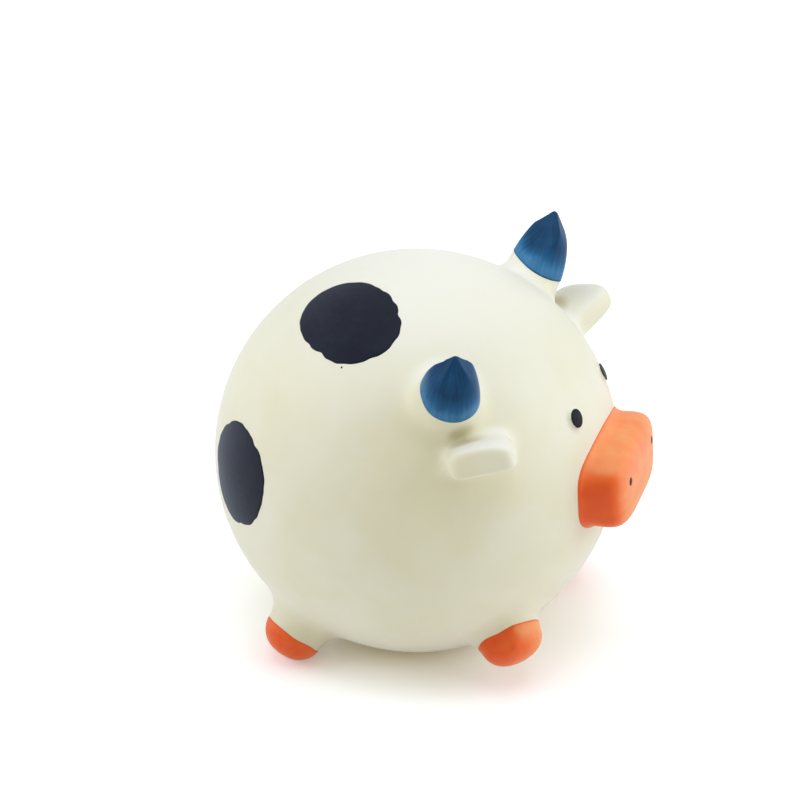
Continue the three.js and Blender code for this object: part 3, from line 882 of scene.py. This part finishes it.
for seed, (name, (radius, rows, shares)) in enumerate(PATCHES.items(), start=31):
    edge = patch_edge(radius, shares, NOTCHES[name], seed)
    coats["navy"].append(
        make_coat(name + "_coat", np.zeros(3), rows, edge, radius, name, rows=26, columns=240)
    )
fleck_side = FLECK_AWAY * np.array([math.cos(FLECK_TURN), math.sin(FLECK_TURN)])
fleck_out = np.array([*fleck_side, math.sqrt(BALL_RADIUS**2 - FLECK_AWAY**2)]) @ PATCHES["back_patch"][1]
fleck_frame = aim(
    math.degrees(math.atan2(fleck_out[0], -fleck_out[1])), math.degrees(math.asin(fleck_out[2] / BALL_RADIUS))
)
coats["navy"].append(
    make_coat(
        "stray_fleck",
        fleck_frame[2] * (BALL_RADIUS - FLECK_DOT[2]),
        fleck_frame,
        dot_edge(*FLECK_DOT),
        FLECK_COAT_SIZE,
        rows=4,
        columns=16,
        top=FLECK_COAT_TOP,
    )
)
print("coats:", {colour: len(pieces) for colour, pieces in coats.items()})

# %% [markdown]
# Inside the shell sits a wad of loose polyester fibre that keeps the thin ball round. Thousands of strands
# would cost a lot for something that is never seen whole, so it is modelled as the wad that it looks like
# when it is pulled out: a net over a ball of soft tufts, with a pocket where the squeaker pushes in. It is
# packed nearly tight.

# %% Fibre filling
FILLING_RADIUS = 33.0
FILLING_CELL = 1.4
FLOOR_GAP = 0.5  # from the latex of the belly up to the wad
FLOOR_MELT = 1.5
TUFTS = 260
TUFT_SCATTER = 0.04
TUFT_SPREAD = 0.14  # radians from a tuft's middle to the dent round it
TUFT_DEPTH = 1.7
DEEPEST_DENT = 1.3  # in spreads, where tufts lie far apart
POCKET = [(COLLAR_RADIUS + 0.6, 6.0), (7.0, 8.0), (6.0, 16.7)]  # radius, top, in mm
POCKET_MELT = 0.8

spread = np.arange(TUFTS) + 0.5
tuft_lean = np.arccos(1 - 2 * spread / TUFTS)
tuft_turn = np.pi * (1 + 5**0.5) * spread
tufts = np.stack(
    [
        np.cos(tuft_turn) * np.sin(tuft_lean),
        np.sin(tuft_turn) * np.sin(tuft_lean),
        np.cos(tuft_lean),
    ],
    axis=1,
)
tufts += np.random.default_rng(7).normal(0, TUFT_SCATTER, tufts.shape)
tufts /= np.linalg.norm(tufts, axis=1, keepdims=True)


def filling_distance(points):
    """Distance to the wad of fibre."""
    away = np.linalg.norm(points, axis=1)
    nearest = np.full(len(points), -1.0)
    for tuft in tufts:
        nearest = np.maximum(nearest, points @ tuft)
    gap = np.sqrt(np.maximum(0, 2 - 2 * np.clip(nearest / np.maximum(away, 1), -1, 1)))
    distance = away - FILLING_RADIUS + TUFT_DEPTH * np.minimum(gap / TUFT_SPREAD, DEEPEST_DENT) ** 2
    height = points[:, 2] + CENTRE[2]
    distance = -melt(-distance, height - BELLY_WALL - FLOOR_GAP, FLOOR_MELT)
    around = np.hypot(points[:, 0], points[:, 1])
    for radius, top in POCKET:
        distance = -melt(-distance, np.maximum(around - radius, height - top), POCKET_MELT)
    return distance


filling = make_piece("fibre_wad", *netted(filling_distance, low, high, FILLING_CELL, 1))
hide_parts("fibre_filling")
print("fibre wad:", len(filling.data.polygons), "faces")

# %% [markdown]
# The squeaker's housing is injection moulded: a flange that lies flush in the belly, a barrel, and a barb
# that snaps past the collar. The CAD node has flat facets, and its flange shows from below, so it is turned
# again here with a finer outline whose edges have the small radii that a moulding tool leaves.

# %% Squeaker housing
AIR_HOLE_RADIUS = 1.25
FLANGE_FOOT = 0.5
BARB_RADIUS = 6.3
BARB_FOOT = 5.5
BARB_TOP = 7.3
HOUSING_TOP = 13.5
BORE_RADIUS = 4.2
BORE_FLOOR = 2.0
EDGE_BREAK = 0.12  # radius or bevel that breaks a moulded edge
FINE_EDGE_BREAK = 0.1
CRISP_HOUSING = math.radians(50)
HOUSING_OUTLINE = [  # radius, height above the floor
    (AIR_HOLE_RADIUS, FLANGE_FOOT + EDGE_BREAK),
    (AIR_HOLE_RADIUS + EDGE_BREAK, FLANGE_FOOT),
    (FLANGE_RADIUS - 0.35, FLANGE_FOOT),
    (FLANGE_RADIUS - 0.1, FLANGE_FOOT + 0.1),
    (FLANGE_RADIUS, FLANGE_FOOT + 0.35),
    (FLANGE_RADIUS, FLANGE_TOP - EDGE_BREAK),
    (FLANGE_RADIUS - EDGE_BREAK, FLANGE_TOP),
    (BARREL_RADIUS + EDGE_BREAK, FLANGE_TOP),
    (BARREL_RADIUS, FLANGE_TOP + EDGE_BREAK),
    (BARREL_RADIUS, BARB_FOOT),
    (BARB_RADIUS - 0.08, BARB_FOOT),
    (BARB_RADIUS, BARB_FOOT + 0.1),
    (BARB_RADIUS - 0.04, BARB_FOOT + 0.2),
    (BARREL_RADIUS, BARB_TOP),
    (BARREL_RADIUS, HOUSING_TOP - FINE_EDGE_BREAK),
    (BARREL_RADIUS - FINE_EDGE_BREAK, HOUSING_TOP),
    (BORE_RADIUS + FINE_EDGE_BREAK, HOUSING_TOP),
    (BORE_RADIUS, HOUSING_TOP - FINE_EDGE_BREAK),
    (BORE_RADIUS, BORE_FLOOR),
    (AIR_HOLE_RADIUS, BORE_FLOOR),
]
housing = make_turned("housing", HOUSING_OUTLINE)
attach(housing, "toy")
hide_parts("squeaker_housing")
housing.data.shade_smooth()
housing.data.set_sharp_from_angle(angle=CRISP_HOUSING)
print("housing:", len(housing.data.polygons), "faces")

# %% [markdown]
# Every material here is built with one helper that adds a node with its settings, so that each recipe reads
# as a list. Colours are written as they look on screen, and one function turns them into the linear light
# values that shaders use. Pattern scales come from real sizes: the coordinates are in metres, so a noise of
# scale 1000 / size repeats about every size millimetres.

# %% Material helpers


def linear(hex_colour):
    """Linear light values, with alpha, of an sRGB colour."""
    parts = [int(hex_colour[i : i + 2], 16) / 255 for i in (1, 3, 5)]
    return tuple(v / 12.92 if v <= 0.04045 else ((v + 0.055) / 1.055) ** 2.4 for v in parts) + (1.0,)


def add_node(material, kind, links=None, inputs=None, **settings):
    """Adds a node, with its settings, the sockets that feed it and its input values."""
    node = material.node_tree.nodes.new("ShaderNode" + kind)
    for name, value in settings.items():
        setattr(node, name, value)
    for name, value in (inputs or {}).items():
        node.inputs[name].default_value = value
    for name, socket in (links or {}).items():
        material.node_tree.links.new(socket, node.inputs[name])
    return node


def new_material(name):
    """An empty node material, and its coordinates in metres."""
    material = bpy.data.materials.new(name)
    material.use_nodes = True
    material.node_tree.nodes.clear()
    return material, add_node(material, "TexCoord").outputs["Object"]


def per_mm(size):
    """Scale of a pattern that repeats about every size millimetres."""
    return 1000 / size


def wear(piece, material):
    """Gives a piece its one material."""
    piece.data.materials.clear()
    piece.data.materials.append(material)


print("white is", linear("#FFFFFF"))

# %% [markdown]
# The skin is natural latex, pigmented cream and cured in a plaster mould. The plaster leaves it satin, with
# a fine grain, and light enters its outer millimetre before it comes back, which warms the shadows. A bloom
# of fine powder keeps it from shining and pales it where it turns away. So the colour drifts softly from
# place to place, the top is painted paler as painted light from above, the creases are painted olive as
# painted shade, a little of the light is scattered under the surface, the gloss is low and a sheen stands for
# the powder. The grain is drawn at 0.9 mm, coarser than the real one, which would not show.

# %% Cream latex
CREAM = "#F1ECD5"
CREAM_DEEP = "#EAE3C1"
CREAM_PAINTED_LIGHT = "#F7F4E8"
CREASE_SHADE_OLIVE = "#BDB377"


def make_latex():
    """A cream that drifts from place to place, with a painted paler top and creases painted olive as shade.
    """
    material, place = new_material("moulded_cream_latex")
    drift = add_node(material, "TexNoise", {"Vector": place}, {"Scale": per_mm(17), "Detail": 3.0})
    haze = add_node(
        material, "MapRange", {"Value": drift.outputs["Fac"]}, {"From Min": 0.35, "From Max": 0.7}
    )
    tone = add_node(
        material,
        "MixRGB",
        {"Fac": haze.outputs["Result"]},
        {"Color1": linear(CREAM), "Color2": linear(CREAM_DEEP)},
    )
    # Painted light: faces that look up are mixed towards a paler cream.
    normal = add_node(material, "NewGeometry").outputs["Normal"]
    facing = add_node(material, "SeparateXYZ", {"Vector": normal})
    painted_pale_top = add_node(
        material,
        "MapRange",
        {"Value": facing.outputs["Z"]},
        {"From Min": 0.58, "From Max": 0.98, "To Max": 0.85},
    )
    tone = add_node(
        material,
        "MixRGB",
        {"Fac": painted_pale_top.outputs["Result"], "Color1": tone.outputs["Color"]},
        {"Color2": linear(CREAM_PAINTED_LIGHT)},
    )
    # Painted shade: the creases are mixed towards olive.
    crease = add_node(material, "Attribute", attribute_name="crease")
    painted_crease_shade = add_node(
        material,
        "MapRange",
        {"Value": crease.outputs["Fac"]},
        {"From Min": 0.42, "From Max": 0.9, "To Max": 0.62},
        interpolation_type="SMOOTHSTEP",
    )
    colour = add_node(
        material,
        "MixRGB",
        {"Fac": painted_crease_shade.outputs["Result"], "Color1": tone.outputs["Color"]},
        {"Color2": linear(CREASE_SHADE_OLIVE)},
    )
    grain = add_node(material, "TexNoise", {"Vector": place}, {"Scale": per_mm(0.9), "Detail": 4.0})
    rough = add_node(
        material,
        "MapRange",
        {"Value": grain.outputs["Fac"]},
        {"From Min": 0.3, "From Max": 0.7, "To Min": 0.46, "To Max": 0.58},
    )
    bump = add_node(
        material, "Bump", {"Height": grain.outputs["Fac"]}, {"Strength": 0.12, "Distance": 0.00008}
    )
    shader = add_node(
        material,
        "BsdfPrincipled",
        {
            "Base Color": colour.outputs["Color"],
            "Roughness": rough.outputs["Result"],
            "Normal": bump.outputs["Normal"],
        },
        {
            "IOR": 1.52,
            "Specular IOR Level": 0.45,
            "Sheen Weight": 0.55,
            "Sheen Roughness": 0.5,
            "Subsurface Weight": 0.15,
            "Subsurface Radius": (1.0, 0.85, 0.5),
            "Subsurface Scale": 0.0012,
        },
    )
    add_node(material, "OutputMaterial", {"Surface": shader.outputs["BSDF"]})
    return material


wear(skin, make_latex())
print("skin wears", skin.data.materials[0].name)

# %% [markdown]
# The paint is latex too, thickened with pigment and put on with a soft brush, so it stays rubbery and satin.
# What the eye sees is the brush: fine streaks, light where the coat is thin and deep where it lies thick,
# and a darker line along the rim, from thicker paint there and painted shade under the raised edge. The
# streaks run down a horn or a hoof from its tip, and round a patch. A horn's coat is painted deeper towards
# its tip and lighter towards its line, as painted shade and light, and the orange coats are painted light on
# top and in front and deep on the sides, as painted light from above and ahead. Strands of the brush are
# about 0.3 mm apart and are drawn a little coarser. A bloom on the rubber pales the faces that are seen at a
# slant. The recipe takes the three tones, the bloom's colour, how many streaks fit round and along the coat,
# how soft they are, how much painted light they get towards the line and on faces that look up or forward,
# and how glossy and bloomed they are.

# %% Brushed latex paint


def make_paint(name, deep, plain, light, bloom, around, along, contrast, light_to_line, top_light, gloss, sheen):
    """Paint in three tones, from a coat's brush attribute, with painted light towards its line and on faces
    that look up or forward.
    """
    material, place = new_material(name)
    brush = add_node(material, "Attribute", attribute_name="brush").outputs["Vector"]
    path = add_node(material, "Mapping", {"Vector": brush}, {"Scale": (around, around, along)})
    streaks = add_node(
        material,
        "TexNoise",
        {"Vector": path.outputs["Vector"]},
        {"Scale": 1.0, "Detail": 3.0, "Roughness": 0.6},
    )
    drift = add_node(material, "TexNoise", {"Vector": place}, {"Scale": per_mm(5), "Detail": 3.0})
    cover = add_node(material, "Math", {0: streaks.outputs["Fac"], 1: drift.outputs["Fac"]}, operation="ADD")
    rim = add_node(material, "SeparateXYZ", {"Vector": brush})
    # Painted light and shade: lighter towards the coat's line, deeper towards its middle.
    painted_light_to_line = add_node(
        material,
        "MapRange",
        {"Value": rim.outputs["Z"]},
        {"From Min": 0.4, "From Max": 0.8, "To Min": -light_to_line, "To Max": light_to_line},
    )
    cover = add_node(material, "Math", {0: cover.outputs[0], 1: painted_light_to_line.outputs["Result"]}, operation="ADD")
    # Painted light: lighter on faces that look up or forward, deeper on the sides.
    painted_top_light = add_node(
        material,
        "MapRange",
        {"Value": add_node(material, "Attribute", attribute_name="painted_top_light").outputs["Fac"]},
        {"From Min": 0.3, "From Max": 0.9, "To Min": -top_light, "To Max": top_light},
    )
    cover = add_node(material, "Math", {0: cover.outputs[0], 1: painted_top_light.outputs["Result"]}, operation="ADD")
    body = add_node(
        material,
        "MapRange",
        {"Value": cover.outputs[0]},
        {"From Min": 1 - contrast, "From Max": 1 + contrast},
    )
    tones = add_node(material, "ValToRGB", {"Fac": body.outputs["Result"]})
    ramp = tones.color_ramp.elements
    ramp[0].color, ramp[1].color = linear(deep), linear(light)
    ramp.new(0.5).color = linear(plain)
    # Darker along the rim: thicker paint, and painted shade under the raised edge.
    rim_bead_and_shade = add_node(
        material,
        "MapRange",
        {"Value": rim.outputs["Z"]},
        {"From Min": 0.955, "From Max": 0.99, "To Max": 0.7},
    )
    colour = add_node(
        material,
        "MixRGB",
        {"Fac": rim_bead_and_shade.outputs["Result"], "Color1": tones.outputs["Color"]},
        {"Color2": linear(deep)},
    )
    grain = add_node(material, "TexNoise", {"Vector": place}, {"Scale": per_mm(0.8), "Detail": 3.0})
    relief = add_node(material, "Math", {0: streaks.outputs["Fac"], 1: grain.outputs["Fac"]}, operation="ADD")
    bump = add_node(material, "Bump", {"Height": relief.outputs[0]}, {"Strength": 0.2, "Distance": 0.00012})
    shader = add_node(
        material,
        "BsdfPrincipled",
        {"Base Color": colour.outputs["Color"], "Normal": bump.outputs["Normal"]},
        {
            "IOR": 1.5,
            "Roughness": 0.42,
            "Specular IOR Level": gloss,
            "Sheen Weight": sheen,
            "Sheen Roughness": 0.35,
            "Sheen Tint": linear(bloom),
        },
    )
    add_node(material, "OutputMaterial", {"Surface": shader.outputs["BSDF"]})
    return material


PAINTS = {
    "blue": ("blue_paint", "#082A49", "#1F5885", "#4A8AB8", "#A8CCEA", 6, 1.5, 1.0, 0.6, 0.0, 0.1, 0.25),
    "orange": ("orange_paint", "#EE5A22", "#FD7236", "#FFA56A", "#FFC890", 2.5, 2, 1.0, 0.0, 0.8, 0.2, 0.6),
    "black": ("black_paint", "#101116", "#16171C", "#202128", "#FFFFFF", 3, 2, 0.4, 0.0, 0.0, 0.08, 0.03),
    "brown": ("brown_paint", "#251614", "#35211E", "#442D28", "#FFFFFF", 3, 2, 0.4, 0.0, 0.0, 0.1, 0.03),
    "navy": ("navy_paint", "#131621", "#1B1F2C", "#282C3B", "#B8C8F0", 2.2, 5, 0.9, 0.0, 0.0, 0.08, 0.3),
}
for colour, (slot, *recipe) in PAINTS.items():
    paint = make_paint("brushed_" + colour + "_latex", *recipe)
    for piece in coats[colour]:
        wear(piece, paint)
print("paints:", list(PAINTS))

# %% [markdown]
# Polyester fibre is white, crimped and matte, and a wad of it looks like cloud. Streaks of noise stretched
# along one way and warped by a second noise read as strands. A strand is 0.03 mm thick, so they are drawn
# as locks of about 0.8 mm. A little sheen brightens the edges, as loose fibre does.

# %% Polyester fibre
material, place = new_material("crimped_polyester_fibre")
warp = add_node(material, "TexNoise", {"Vector": place}, {"Scale": per_mm(6), "Detail": 3.0})
bent = add_node(material, "MixRGB", {"Color1": place, "Color2": warp.outputs["Color"]}, {"Fac": 0.006})
stretch = add_node(material, "Mapping", {"Vector": bent.outputs["Color"]}, {"Scale": (1.0, 0.25, 0.6)})
locks = add_node(
    material, "TexNoise", {"Vector": stretch.outputs["Vector"]}, {"Scale": per_mm(0.8), "Detail": 5.0}
)
tone = add_node(
    material,
    "MixRGB",
    {"Fac": locks.outputs["Fac"]},
    {"Color1": linear("#DEDBD2"), "Color2": linear("#FBFAF6")},
)
bump = add_node(material, "Bump", {"Height": locks.outputs["Fac"]}, {"Strength": 0.7, "Distance": 0.0006})
shader = add_node(
    material,
    "BsdfPrincipled",
    {"Base Color": tone.outputs["Color"], "Normal": bump.outputs["Normal"]},
    {"Roughness": 0.95, "Sheen Weight": 0.3, "Sheen Roughness": 0.5, "IOR": 1.5},
)
add_node(material, "OutputMaterial", {"Surface": shader.outputs["BSDF"]})
wear(filling, material)
print("filling wears", material.name)

# %% [markdown]
# The squeaker's hard pieces are injection moulded. Moulded plastic is even in colour, with a faint flow
# from the gate, and the tool's spark-eroded skin gives it a fine grain. White polyethylene for the housing
# is the glossiest, natural polypropylene for the block and the guard is milky, and the sleeve is clear
# styrene. One recipe makes all of them, and the grain of 0.3 mm is drawn coarser than the real one.

# %% Moulded plastics


def make_plastic(name, deep, plain, roughness, transmission=0.0, ior=1.5):
    """Plastic in two close tones, with the fine grain of the tool."""
    material, place = new_material(name)
    flow = add_node(material, "TexNoise", {"Vector": place}, {"Scale": per_mm(5), "Detail": 2.0})
    tone = add_node(
        material, "MixRGB", {"Fac": flow.outputs["Fac"]}, {"Color1": linear(deep), "Color2": linear(plain)}
    )
    grain = add_node(material, "TexNoise", {"Vector": place}, {"Scale": per_mm(0.3), "Detail": 2.0})
    rough = add_node(
        material,
        "MapRange",
        {"Value": grain.outputs["Fac"]},
        {"To Min": roughness - 0.06, "To Max": roughness + 0.06},
    )
    bump = add_node(
        material, "Bump", {"Height": grain.outputs["Fac"]}, {"Strength": 0.1, "Distance": 0.00003}
    )
    shader = add_node(
        material,
        "BsdfPrincipled",
        {
            "Base Color": tone.outputs["Color"],
            "Roughness": rough.outputs["Result"],
            "Normal": bump.outputs["Normal"],
        },
        {"IOR": ior, "Transmission Weight": transmission},
    )
    add_node(material, "OutputMaterial", {"Surface": shader.outputs["BSDF"]})
    return material


polyethylene = make_plastic("moulded_white_polyethylene", "#E9E8E2", "#F3F2EE", 0.3, ior=1.51)
wear(housing, polyethylene)
PLASTICS = {
    "fibre_guard": make_plastic("moulded_natural_polypropylene", "#DEDACB", "#ECE9DE", 0.42, ior=1.49),
    "reed_block": make_plastic("moulded_cream_polypropylene", "#DBD6C4", "#E8E4D5", 0.45, ior=1.49),
    "reed_sleeve": make_plastic("moulded_clear_styrene", "#D3DCDF", "#E6ECEE", 0.18, 0.85, 1.59),
}
for name, plastic in PLASTICS.items():
    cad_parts[name].material_slots[0].material = plastic
print("plastics:", [plastic.name for plastic in PLASTICS.values()])

# %% [markdown]
# The reed is a strip punched from thin polyester film. Rolling leaves such film with fine lines along its
# length and a cool, glassy shine, so its roughness varies in lines that are drawn 0.4 mm apart.

# %% Reed film
material, place = new_material("rolled_polyester_film")
stretch = add_node(material, "Mapping", {"Vector": place}, {"Scale": (1.0, 1.0, 0.06)})
lines = add_node(
    material, "TexNoise", {"Vector": stretch.outputs["Vector"]}, {"Scale": per_mm(0.4), "Detail": 2.0}
)
tone = add_node(
    material,
    "MixRGB",
    {"Fac": lines.outputs["Fac"]},
    {"Color1": linear("#BCC8CD"), "Color2": linear("#D3DCE0")},
)
rough = add_node(material, "MapRange", {"Value": lines.outputs["Fac"]}, {"To Min": 0.12, "To Max": 0.32})
shader = add_node(
    material,
    "BsdfPrincipled",
    {"Base Color": tone.outputs["Color"], "Roughness": rough.outputs["Result"]},
    {"IOR": 1.6, "Transmission Weight": 0.4},
)
add_node(material, "OutputMaterial", {"Surface": shader.outputs["BSDF"]})
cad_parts["reed"].material_slots[0].material = material
print("reed wears", material.name)

# %% [markdown]
# The toy stands on white paper. To show white without more light on the toy, the paper adds a little light
# of its own, but only for rays from the camera and for reflections. It adds least under the toy, where its
# dim warm brown is a painted shadow, warmed as painted bounce light from the cream belly above it, and most
# further off, where the lamps do not reach. A faint fibre in the paper keeps it from looking like a void. The
# paper lies a hair below the toy, so that the two flat faces do not flicker.

# %% Floor


def looked_at(material):
    """Its light path node, and 1 for rays that the camera, a gloss or clear plastic sends, else 0."""
    path = add_node(material, "LightPath")
    seen = path.outputs["Is Camera Ray"]
    for kind in ("Is Glossy Ray", "Is Transmission Ray"):
        seen = add_node(material, "Math", {0: seen, 1: path.outputs[kind]}, operation="MAXIMUM").outputs[0]
    return path, seen


FLOOR_SIZE = 3.0  # metres, like the drop
FLOOR_DROP = 0.00002
GLOWS_AND_PAINTED_SHADOW = [  # metres from the middle, and the light that the paper adds there, a dim warm painted shadow close under the toy
    (0.014, "#685836"),
    (0.033, "#9E9E9E"),
    (0.15, "#9E9E9E"),
    (0.7, "#FFFFFF"),
]
mesh = bpy.data.meshes.new("floor")
half = FLOOR_SIZE / 2
corners = [(-half, -half), (half, -half), (half, half), (-half, half)]
mesh.from_pydata([(x, y, -FLOOR_DROP) for x, y in corners], [], [(0, 1, 2, 3)])
floor = bpy.data.objects.new("floor", mesh)
bpy.context.scene.collection.objects.link(floor)
material, place = new_material("white_paper")
pulp = add_node(material, "TexNoise", {"Vector": place}, {"Scale": per_mm(2), "Detail": 3.0})
tone = add_node(
    material,
    "MixRGB",
    {"Fac": pulp.outputs["Fac"]},
    {"Color1": linear("#F3F4F5"), "Color2": linear("#F8F9FA")},
)
shader = add_node(material, "BsdfDiffuse", {"Color": tone.outputs["Color"]})
_, seen = looked_at(material)
away = add_node(material, "VectorMath", {0: place}, operation="LENGTH")
# Painted shadow: the paper's own light is dim and warm brown under the toy, white further off.
glow_and_painted_shadow = add_node(material, "ValToRGB", {"Fac": away.outputs["Value"]})
ramp = glow_and_painted_shadow.color_ramp.elements
for _ in GLOWS_AND_PAINTED_SHADOW[2:]:
    ramp.new(1.0)
for stop, (distance, grey) in zip(ramp, GLOWS_AND_PAINTED_SHADOW):
    stop.position, stop.color = distance, linear(grey)
glow = add_node(material, "Emission", {"Color": glow_and_painted_shadow.outputs["Color"], "Strength": seen})
both = add_node(material, "AddShader", {0: shader.outputs[0], 1: glow.outputs[0]})
add_node(material, "OutputMaterial", {"Surface": both.outputs[0]})
floor.data.materials.append(material)
print("floor:", FLOOR_SIZE, "m square")

# %% [markdown]
# A photographer's white tent surrounds the toy, so the world is white wherever the camera or a reflection
# looks at it. As a light it is dimmer, and a little warmer than the lamps, which deepens the cream where they
# do not reach. The tent is open on the side where the camera stands, so reflections of that side are darker,
# while every view still has white behind the toy.

# %% World
TENT_LIGHT = 0.38
OPENING = 0.3
world = bpy.data.worlds.new("studio")
bpy.context.scene.world = world
world.use_nodes = True
world.node_tree.nodes.clear()
path, seen = looked_at(world)
direction = add_node(world, "TexCoord").outputs["Generated"]
toward = add_node(world, "VectorMath", {0: direction}, {1: back}, operation="DOT_PRODUCT")
opening = add_node(
    world,
    "MapRange",
    {"Value": toward.outputs["Value"]},
    {"From Min": 0.0, "From Max": 0.8, "To Min": 1.0, "To Max": OPENING},
    interpolation_type="SMOOTHSTEP",
)
opening = add_node(
    world, "Math", {0: opening.outputs["Result"], 1: path.outputs["Is Camera Ray"]}, operation="MAXIMUM"
)
strength = add_node(world, "MapRange", {"Value": seen, "To Max": opening.outputs[0]}, {"To Min": TENT_LIGHT})
tint = add_node(world, "MixRGB", {"Fac": seen}, {"Color1": linear("#FFF6E0"), "Color2": linear("#FFFFFF")})
sky = add_node(world, "Background", {"Strength": strength.outputs["Result"], "Color": tint.outputs["Color"]})
add_node(world, "OutputWorld", {"Surface": sky.outputs[0]})
print("tent light:", TENT_LIGHT)

# %% [markdown]
# Wide soft lamps do the shaping. The side that faces the camera is the dimmer one, and the top, the front
# and the rear are bright, so the lamps stand above, ahead of and behind the toy and none stands by the
# camera.

# %% Lamps
LAMP_AWAY = 0.9  # metres, like the lamps' size
LAMP_SIZE = 0.7
LAMP_COLOUR = "#E6F1FF"
LAMPS = [  # azimuth, elevation, watts
    ("overhead_lamp", 0, 88, 3.9),
    ("front_lamp", 15, 22, 4.0),
    ("rear_lamp", -160, 30, 3.4),
]

for name, azimuth, elevation, watts in LAMPS:
    lamp = bpy.data.objects.new(name, bpy.data.lights.new(name, "AREA"))
    lamp.data.shape, lamp.data.size, lamp.data.energy = "SQUARE", LAMP_SIZE, watts
    lamp.data.color = linear(LAMP_COLOUR)[:3]
    out = Vector(outward(azimuth, elevation))
    lamp.location = Vector(CENTRE * MM) + out * LAMP_AWAY
    lamp.rotation_euler = out.to_track_quat("Z", "Y").to_euler()
    bpy.context.scene.collection.objects.link(lamp)
bpy.context.scene.view_settings.view_transform = "Standard"
print("lamps:", [name for name, *_ in LAMPS])

# %% [markdown]
# Last, the CAD model's box is printed.

# %% Sizes and finish
print("CAD box, m:", cad_box)
